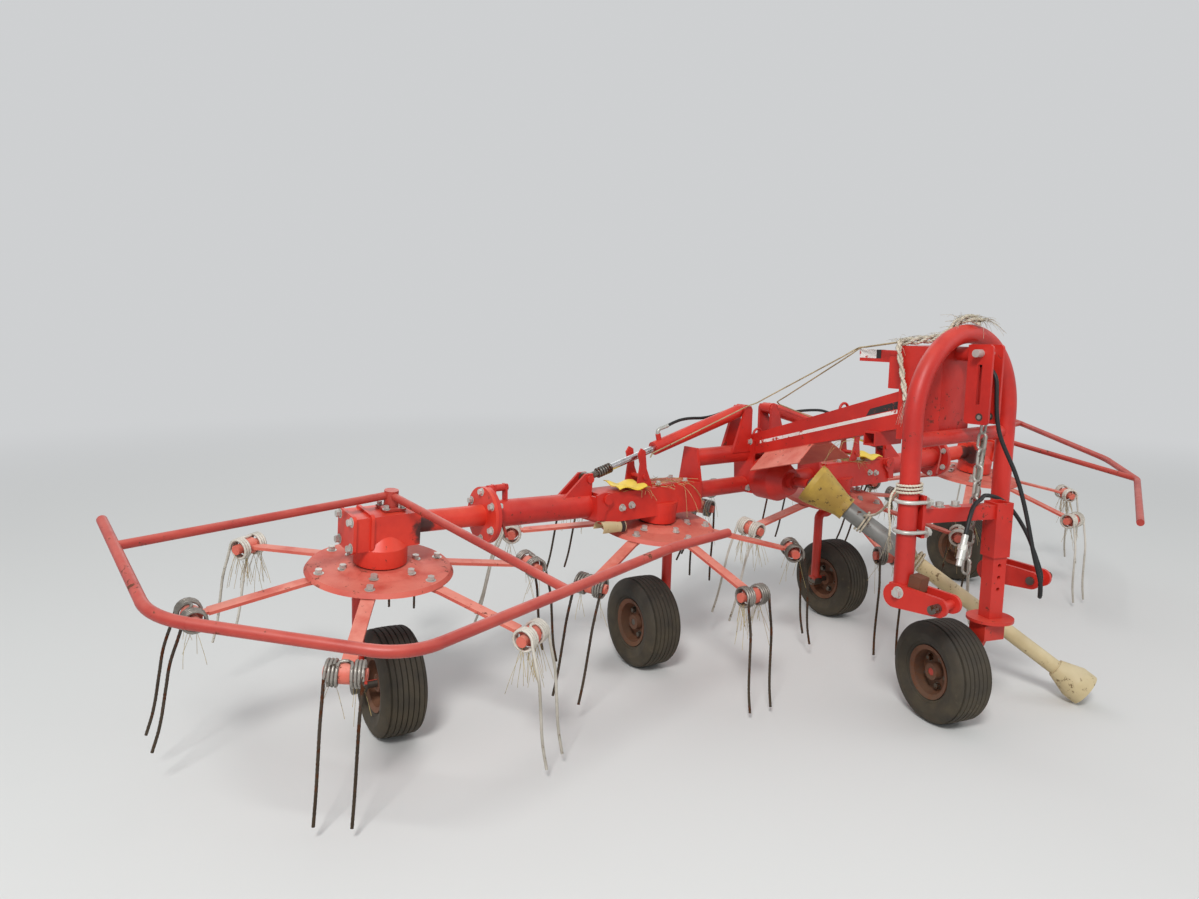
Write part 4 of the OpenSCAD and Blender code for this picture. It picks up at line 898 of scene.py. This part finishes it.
for number in ROTORS:
    paths = [[rotor_frame(number, turn) @ Vector((REACH + x, y, z - DROP)) for x, y, z in tine_path()]
             for turn in arm_turns(number)]
    springs = rope("spring_tines_%d" % number, "reel_%d" % number, paths, WIRE, "wire", pitch=0.115,
                   lobe=0.0, sides=8)
    springs.data.materials.append(FINISH["coil"])
    springs.data.materials.append(FINISH["painted_lit_wire"])
    back = rotor_frame(number).inverted()
    for polygon in springs.data.polygons:
        local = back @ polygon.center
        arm = round((math.degrees(math.atan2(local.y, local.x)) - FIRST_ARM[number - 1]) / 60.0) % 6
        wound = local.z > -DROP - 37.6 and local.xy.length < REACH + 38
        # Lit pairs take the painted highlight, coils the painted sheen, and the rest the dark wire.
        polygon.material_index = PAINTED_LIT_FACE if arm in PAINTED_LIT_PAIRS[number] else SHEEN_COIL_FACE if wound else WORN_FACE
    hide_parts("tines_%d" % number)

# %% [markdown]
# ## Dry hay
# Straws lie on the gearbox covers and hang from the springs, where the last crop was left. They are thin paths
# scattered with a fixed seed, so that they fall alike each time, and swept by the same tree as the ropes. The
# straws beside the latches lie where the wing comes down when it folds.

# %% Hay on the frame and in the springs
lying = []
for i, (x, y) in enumerate(((-500, -30), (-470, 10), (500, -10), (540, 20))):
    lying += straws(20 + i, spot(x, y, 724), (0.05, 0.035, 0.004), 16, 0.10, 0.06)
lying += straws(30, spot(-452, -66, 716), (0.03, 0.004, 0.0), 6, 0.15, 1.3, (0, -0.25, 0.1))
lying += straws(31, spot(-57, -520, 905), (0.002, 0.03, 0.0), 5, 0.10, 1.2, (-0.2, 0.1, 0.1))
thin("hay_on_covers", "frame", lying, 1.7, "hay")
for side, x_hand in SIDES:
    beside = []
    for i, (x, y) in enumerate(((575, -10), (615, 20), (660, -30))):
        beside += straws(50 + i, spot(x_hand * x, y, 716), (0.03, 0.035, 0.003), 15, 0.08, 0.05)
    beside += straws(60, spot(x_hand * 622, -56, 714), (0.02, 0.004, 0.0), 9, 0.06, 1.2, (0, -0.35, 0.1))
    pressed = thin("hay_by_latch_" + side, "frame", beside, 1.7, "hay")
    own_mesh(pressed)
for number in ROTORS:
    held = []
    for i, turn in enumerate(arm_turns(number)):
        m = rotor_frame(number, turn)
        for end in (-1, 1):
            held += straws(40 * number + 2 * i + end, m @ Vector((REACH, end * 33, -100)), (0.018, 0.018, 0.006),
                           3 if (i + number) % 3 else 14, 0.08, 1.0, (0, 0, -1))
    thin("hay_in_springs_%d" % number, "reel_%d" % number, held, 1.5, "hay")

# %% [markdown]
# ## Plastic flaps and the half tube
# Two wavy yellow flaps lie on the inner gearboxes by the fold pins. The wing's lug passes over them in the fold.
# Half a cream tube is stuck under the right-hand one.

# %% A thick sheet over a grid
def thick_sheet(name, steps, place, finish):
    """A closed sheet on the frame: place(u, v, side) gives its two faces, side 0 and side 1, in metres."""
    n, m = steps
    points = [place(i / n, k / m, side) for side in (0, 1) for i in range(n + 1) for k in range(m + 1)]

    def at(i, k, side):
        return (side * (n + 1) + i) * (m + 1) + k

    faces = []
    for i in range(n):
        for k in range(m):
            faces += [(at(i, k, s), at(i + 1, k, s), at(i + 1, k + 1, s), at(i, k + 1, s)) for s in (0, 1)]
    for i in range(n):
        faces += [(at(i, k, 0), at(i, k, 1), at(i + 1, k, 1), at(i + 1, k, 0)) for k in (0, m)]
    for k in range(m):
        faces += [(at(i, k, 0), at(i, k + 1, 0), at(i, k + 1, 1), at(i, k, 1)) for i in (0, n)]
    obj = new_mesh_object(name, points, faces)
    outward(obj)
    soft_edges(obj)
    return dressed(obj, finish, "frame")


print("helper for thick sheets ready")

# %% Flaps
FLAP_THICK = 0.003


def ripple(u, v):
    return 0.011 + 0.007 * math.sin(7.0 * u + 1.5 * v) + 0.004 * math.sin(9.0 * v) + 0.006 * (1 - u) * v


def flap_place(corner, x_hand):
    """The right-hand flap (x_hand -1) leans one way, the left-hand one is its mirror image."""
    along, across = Vector((0.120, x_hand * 0.010, 0)), Vector((-x_hand * 0.014, 0.118, 0))

    def place(u, v, side):
        height = ripple(1 - u if x_hand > 0 else u, v)
        return corner + along * u + across * v + Vector((0, 0, height + side * FLAP_THICK))
    return place


for (side, x_hand), x in zip(SIDES, (-766, 646)):
    place = flap_place(spot(x, -84, GEARBOX_TOP), x_hand)
    flap = thick_sheet("yellow_flap_" + side, (24, 10), place, "flap")
    tuple(spot(x, 0, GEARBOX_TOP))
    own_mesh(flap)
print("flaps laid")

# %% The half tube and its band
TUBE_OPENING, TUBE_ARC = Vector((0, 0.2, -1)), 1.25 * math.pi


def tube_place(start, end, radius, thick):
    """Somewhat more than half a tube from start to end, open downwards."""
    z = (end - start).normalized()
    x = -(TUBE_OPENING - z * z.dot(TUBE_OPENING)).normalized()
    y = z.cross(x)

    def place(u, v, side):
        a = TUBE_ARC * (v - 0.5)
        return start.lerp(end, u) + (x * math.cos(a) + y * math.sin(a)) * (radius - side * thick) / 1000.0
    return place


thick_sheet("half_tube_cream", (1, 20), tube_place(spot(-838, -58, 586), spot(-722, -40, 578), 27.0, 3.0),
            "cream")
thick_sheet("half_tube_band", (1, 20), tube_place(spot(-745, -44, 579.5), spot(-728, -41, 578.3), 29.0, 4.0),
            "sticker_black")
print("half tube laid")

# %% [markdown]
# ## Warning bar
# The bar behind the mast ends in a white block with a black edge, over a red strip.

# %% Bands on the warning bar
BAR_LOW, BAR_TOP, BAR_END = 1206, 1236, -514
BAR_BANDS = (("white", BAR_END, -586), ("black", -586, -606))

for side, x_hand in SIDES:
    for band, y0, y1 in BAR_BANDS:
        outline = [spot(x_hand * 12.0, y, z) for y, z in ((y0, BAR_LOW), (y1, BAR_LOW), (y1, BAR_TOP), (y0, BAR_TOP))]
        sheet_piece("bar_%s_%s" % (band, side), outline, (x_hand, 0, 0), 0.6, "sticker_" + band)
for band, y0, y1 in BAR_BANDS:
    outline = [spot(x, y, BAR_TOP) for x, y in ((-12.5, y0), (-12.5, y1), (12.5, y1), (12.5, y0))]
    sheet_piece("bar_top_" + band, outline, (0, 0, 1), 0.6, "sticker_" + band)
outline = [spot(x, BAR_END, z) for x, z in ((-12.5, BAR_LOW), (12.5, BAR_LOW), (12.5, BAR_TOP), (-12.5, BAR_TOP))]
sheet_piece("bar_end", outline, (0, 1, 0), 0.6, "sticker_white")
print("bar banded")

# %% [markdown]
# ## Bolts, nuts and small steel parts
# Zinc bolt heads hold the flanges, the guards' feet, the gearbox plates and covers, the support arm's clamps and
# the arch's feet, and steel nuts hold the rims. Their places come from the drawing.

# %% Bolts on the wings
HINGE_X, HINGE_Z, WING_X, OUTER_Z = 847, 664, 1643.0, 686.0
FLANGE_IN, FLANGE_R, PLATE_OUT = 372, 79, 115.2
GUARD_FOOT_Z = OUTER_Z + 53.5

for side, x_hand in SIDES:
    root, top = Vector((HINGE_X, 0, HINGE_Z)), Vector((WING_X, 0, OUTER_Z))
    along = (top - root).normalized()
    meet = root + along * ((WING_X - FLANGE_IN - HINGE_X) / along.x)
    places = []
    for k in range(6):
        a = math.radians(30 + 60 * k)
        ring = Vector((0, math.cos(a), 0)) * FLANGE_R + Vector((-along.z, 0, along.x)) * math.sin(a) * FLANGE_R
        for shift, way in ((-12.0, -along), (12.3, along)):
            p = meet + along * shift + ring
            places.append((spot(x_hand * p.x, p.y, p.z), Vector((x_hand * way.x, way.y, way.z)), 17.0))
    m = rotor_frame(1 if side == "right" else 4)
    outer_way = (m.to_3x3() @ Vector((x_hand, 0, 0))).normalized()
    places += [(m @ Vector((x_hand * PLATE_OUT, y, z)), outer_way, 19.0) for y in (-45, 45) for z in (87, 169)]
    up_way = (m.to_3x3() @ Vector((0, 0, 1))).normalized()
    for dx in (-26, 26):
        for dy in (-26, 26):
            rise = GUARD_FOOT_Z + (dy - 20) * math.tan(RAKE) + 3.4 + 8.0
            places.append((spot(x_hand * (WING_X - 30) + dx, dy - 20, rise), up_way, 15.0))
    bolts("wing_bolts_" + side, "wing_" + side, places)

# %% Bolts on the frame
places = []
for (side, x_hand), cover_x in zip(SIDES, ((-550, -416), (498, 632))):
    for x, z in ((737, 652), (693, 657)):
        places += [(spot(x_hand * x, y_hand * 62, z), Vector((0, y_hand, 0)), 17.0) for y_hand in (-1, 1)]
    places += [(spot(x, y, 718.2), Vector((0, 0, 1)), 15.0) for x in cover_x for y in (-42, 42)]
    places += [(spot(x_hand * 62.4, y, z), Vector((x_hand, 0, 0)), 17.0)
               for y, z in ((-36, 846), (36, 846), (-36, 656), (30, 656))]
    places.append((spot(x_hand * 311.6, -942, 486), Vector((x_hand, 0, 0)), 24.0))
    places.append((spot(x_hand * 228.4, -942, 486), Vector((-x_hand, 0, 0)), 24.0))
arm_way = Vector((330, -115, 0)).normalized()
arm_side = Vector((-arm_way.y, arm_way.x, 0))
leg_at = Vector((-270, -930, 0))
for reach in (118, 178):
    p = leg_at + arm_way * reach
    places.append((spot(p.x, p.y, 750.2), Vector((0, 0, 1)), 22.0))
for high in (-48, 48):
    for y in (-37.7, 37.7):
        p = leg_at + arm_way * 43.6 + arm_side * y
        places.append((spot(p.x, p.y, 727 + high), arm_way, 21.0))
bolts("frame_bolts", "frame", places)

# %% Nuts on the rims
NUT_RING, RIM_OUT, RIM_IN = 0.050, 0.0083, 0.0160

for _, node, joint_name, body in WHEELS:
    joint = joints[joint_name]
    x, y, z = axes_about(joint["axis"])
    places = []
    for k in range(5):
        a = 2 * math.pi * k / 5
        at_ring = Vector(joint["pos_m"]) + (x * math.cos(a) + y * math.sin(a)) * NUT_RING
        places += [(at_ring - z * RIM_OUT, z, 17.0), (at_ring - z * RIM_IN, -z, 17.0)]
    bolts("wheel_nuts_" + node, body, places, "steel")

# %% [markdown]
# Each flange has a lock pin with a thin rod as its handle, which hangs in front of the wing's tube. A grey flat
# bar hangs from the head tube behind the chain, and a rusty square tube sits between the plates of the right-hand
# foot. Small seats fill the gaps where pieces rest on others: a root for the warning bar, a packing plate under
# each guard's foot, and two bushes for the chain's pin.

# %% Handles, bars and seats
for side, x_hand in SIDES:
    handle = [spot(x_hand * x, y, z) for x, y, z in ((1262, -6, 752), (1260, -22, 748), (1258, -46, 728),
                                                     (1252, -58, 700), (1240, -60, 660), (1222, -62, 606))]
    round_bar("lock_handle_" + side, "wing_" + side, handle, 11.0, "tube_red")


def block(name, body, centre, size, turn, finish, bevel=1.5):
    """A box of that size in millimetres, its edges broken, at a place on the machine."""
    mesh = bpy.data.meshes.new(name)
    bm = bmesh.new()
    bmesh.ops.create_cube(bm, size=1.0)
    bmesh.ops.scale(bm, verts=bm.verts, vec=Vector(size) / 1000.0)
    bmesh.ops.bevel(bm, geom=bm.edges[:], offset=bevel / 1000.0, segments=2, affect="EDGES")
    place = Matrix.Translation(spot(*centre)) @ Euler(turn).to_matrix().to_4x4()
    bmesh.ops.transform(bm, verts=bm.verts, matrix=place)
    bm.to_mesh(mesh)
    bm.free()
    obj = new_object(name, mesh)
    soft_edges(obj)
    dressed(obj, finish, body)


block("flat_bar", "frame", (112, -940, 862), (30, 8, 226), (0.02, 0.09, 0), "grey_bar")
block("foot_tube", "frame", (-270, -985, 520), (44, 44, 48), (0.15, 0, 0), "rim")
block("bar_root", "frame", (0, -701.2, 1215), (23.6, 74.8, 41.6), (0, 0, 0), "red", bevel=0.5)
BUSH = [(7.1, 26), (12.9, 26), (12.9, 34), (7.1, 34)]
for side, x_hand in SIDES:
    block("foot_packing_" + side, "wing_" + side, (x_hand * 1613, -20, 738.98), (62, 62, 2.0), (RAKE, 0, 0),
          "steel", bevel=0.4)
    bush = turned_ring("chain_bush_" + side, BUSH, spot(0, -1008, 1036), (x_hand, 0, 0), steps=32)
    soft_edges(bush)
    dressed(bush, "steel", "frame")
print("small parts set")

# %% [markdown]
# Each ram's port carries a zinc elbow and a short black hose that runs back along its barrel to a second fitting.

# %% Elbows and hoses on the rams
RAM_BASE, RAM_RUN, RAM_FALL = (76, 974), 781, 212


def ram_place(x_hand, along, high, y=0.0):
    """A point along the ram from its base pin, high over its middle line."""
    way = Vector((RAM_RUN, 0, -RAM_FALL)).normalized()
    over_way = Vector((RAM_FALL, 0, RAM_RUN)).normalized()
    p = Vector((RAM_BASE[0], y, RAM_BASE[1])) + way * along + over_way * high
    return spot(x_hand * p.x, p.y, p.z)


for side, x_hand in SIDES:
    body = "barrel_" + side
    elbow = [ram_place(x_hand, *p) for p in ((450, 40), (450, 52), (447, 59), (440, 62), (420, 62.5), (396, 62))]
    round_bar("ram_elbow_" + side, body, elbow, 15.0, "zinc")
    line = [ram_place(x_hand, *p) for p in ((398, 62), (370, 64), (330, 62, 4), (285, 52, 16), (240, 38, 30),
                                            (190, 22, 36), (140, 12, 38), (95, 8, 38))]
    round_bar("ram_hose_" + side, body, smoothed(line), 12.0, "black_hose")
    fitting = [ram_place(x_hand, *p) for p in ((97, 8, 38), (66, 8, 36), (60, 8, 20))]
    round_bar("ram_fitting_" + side, body, fitting, 15.0, "zinc")
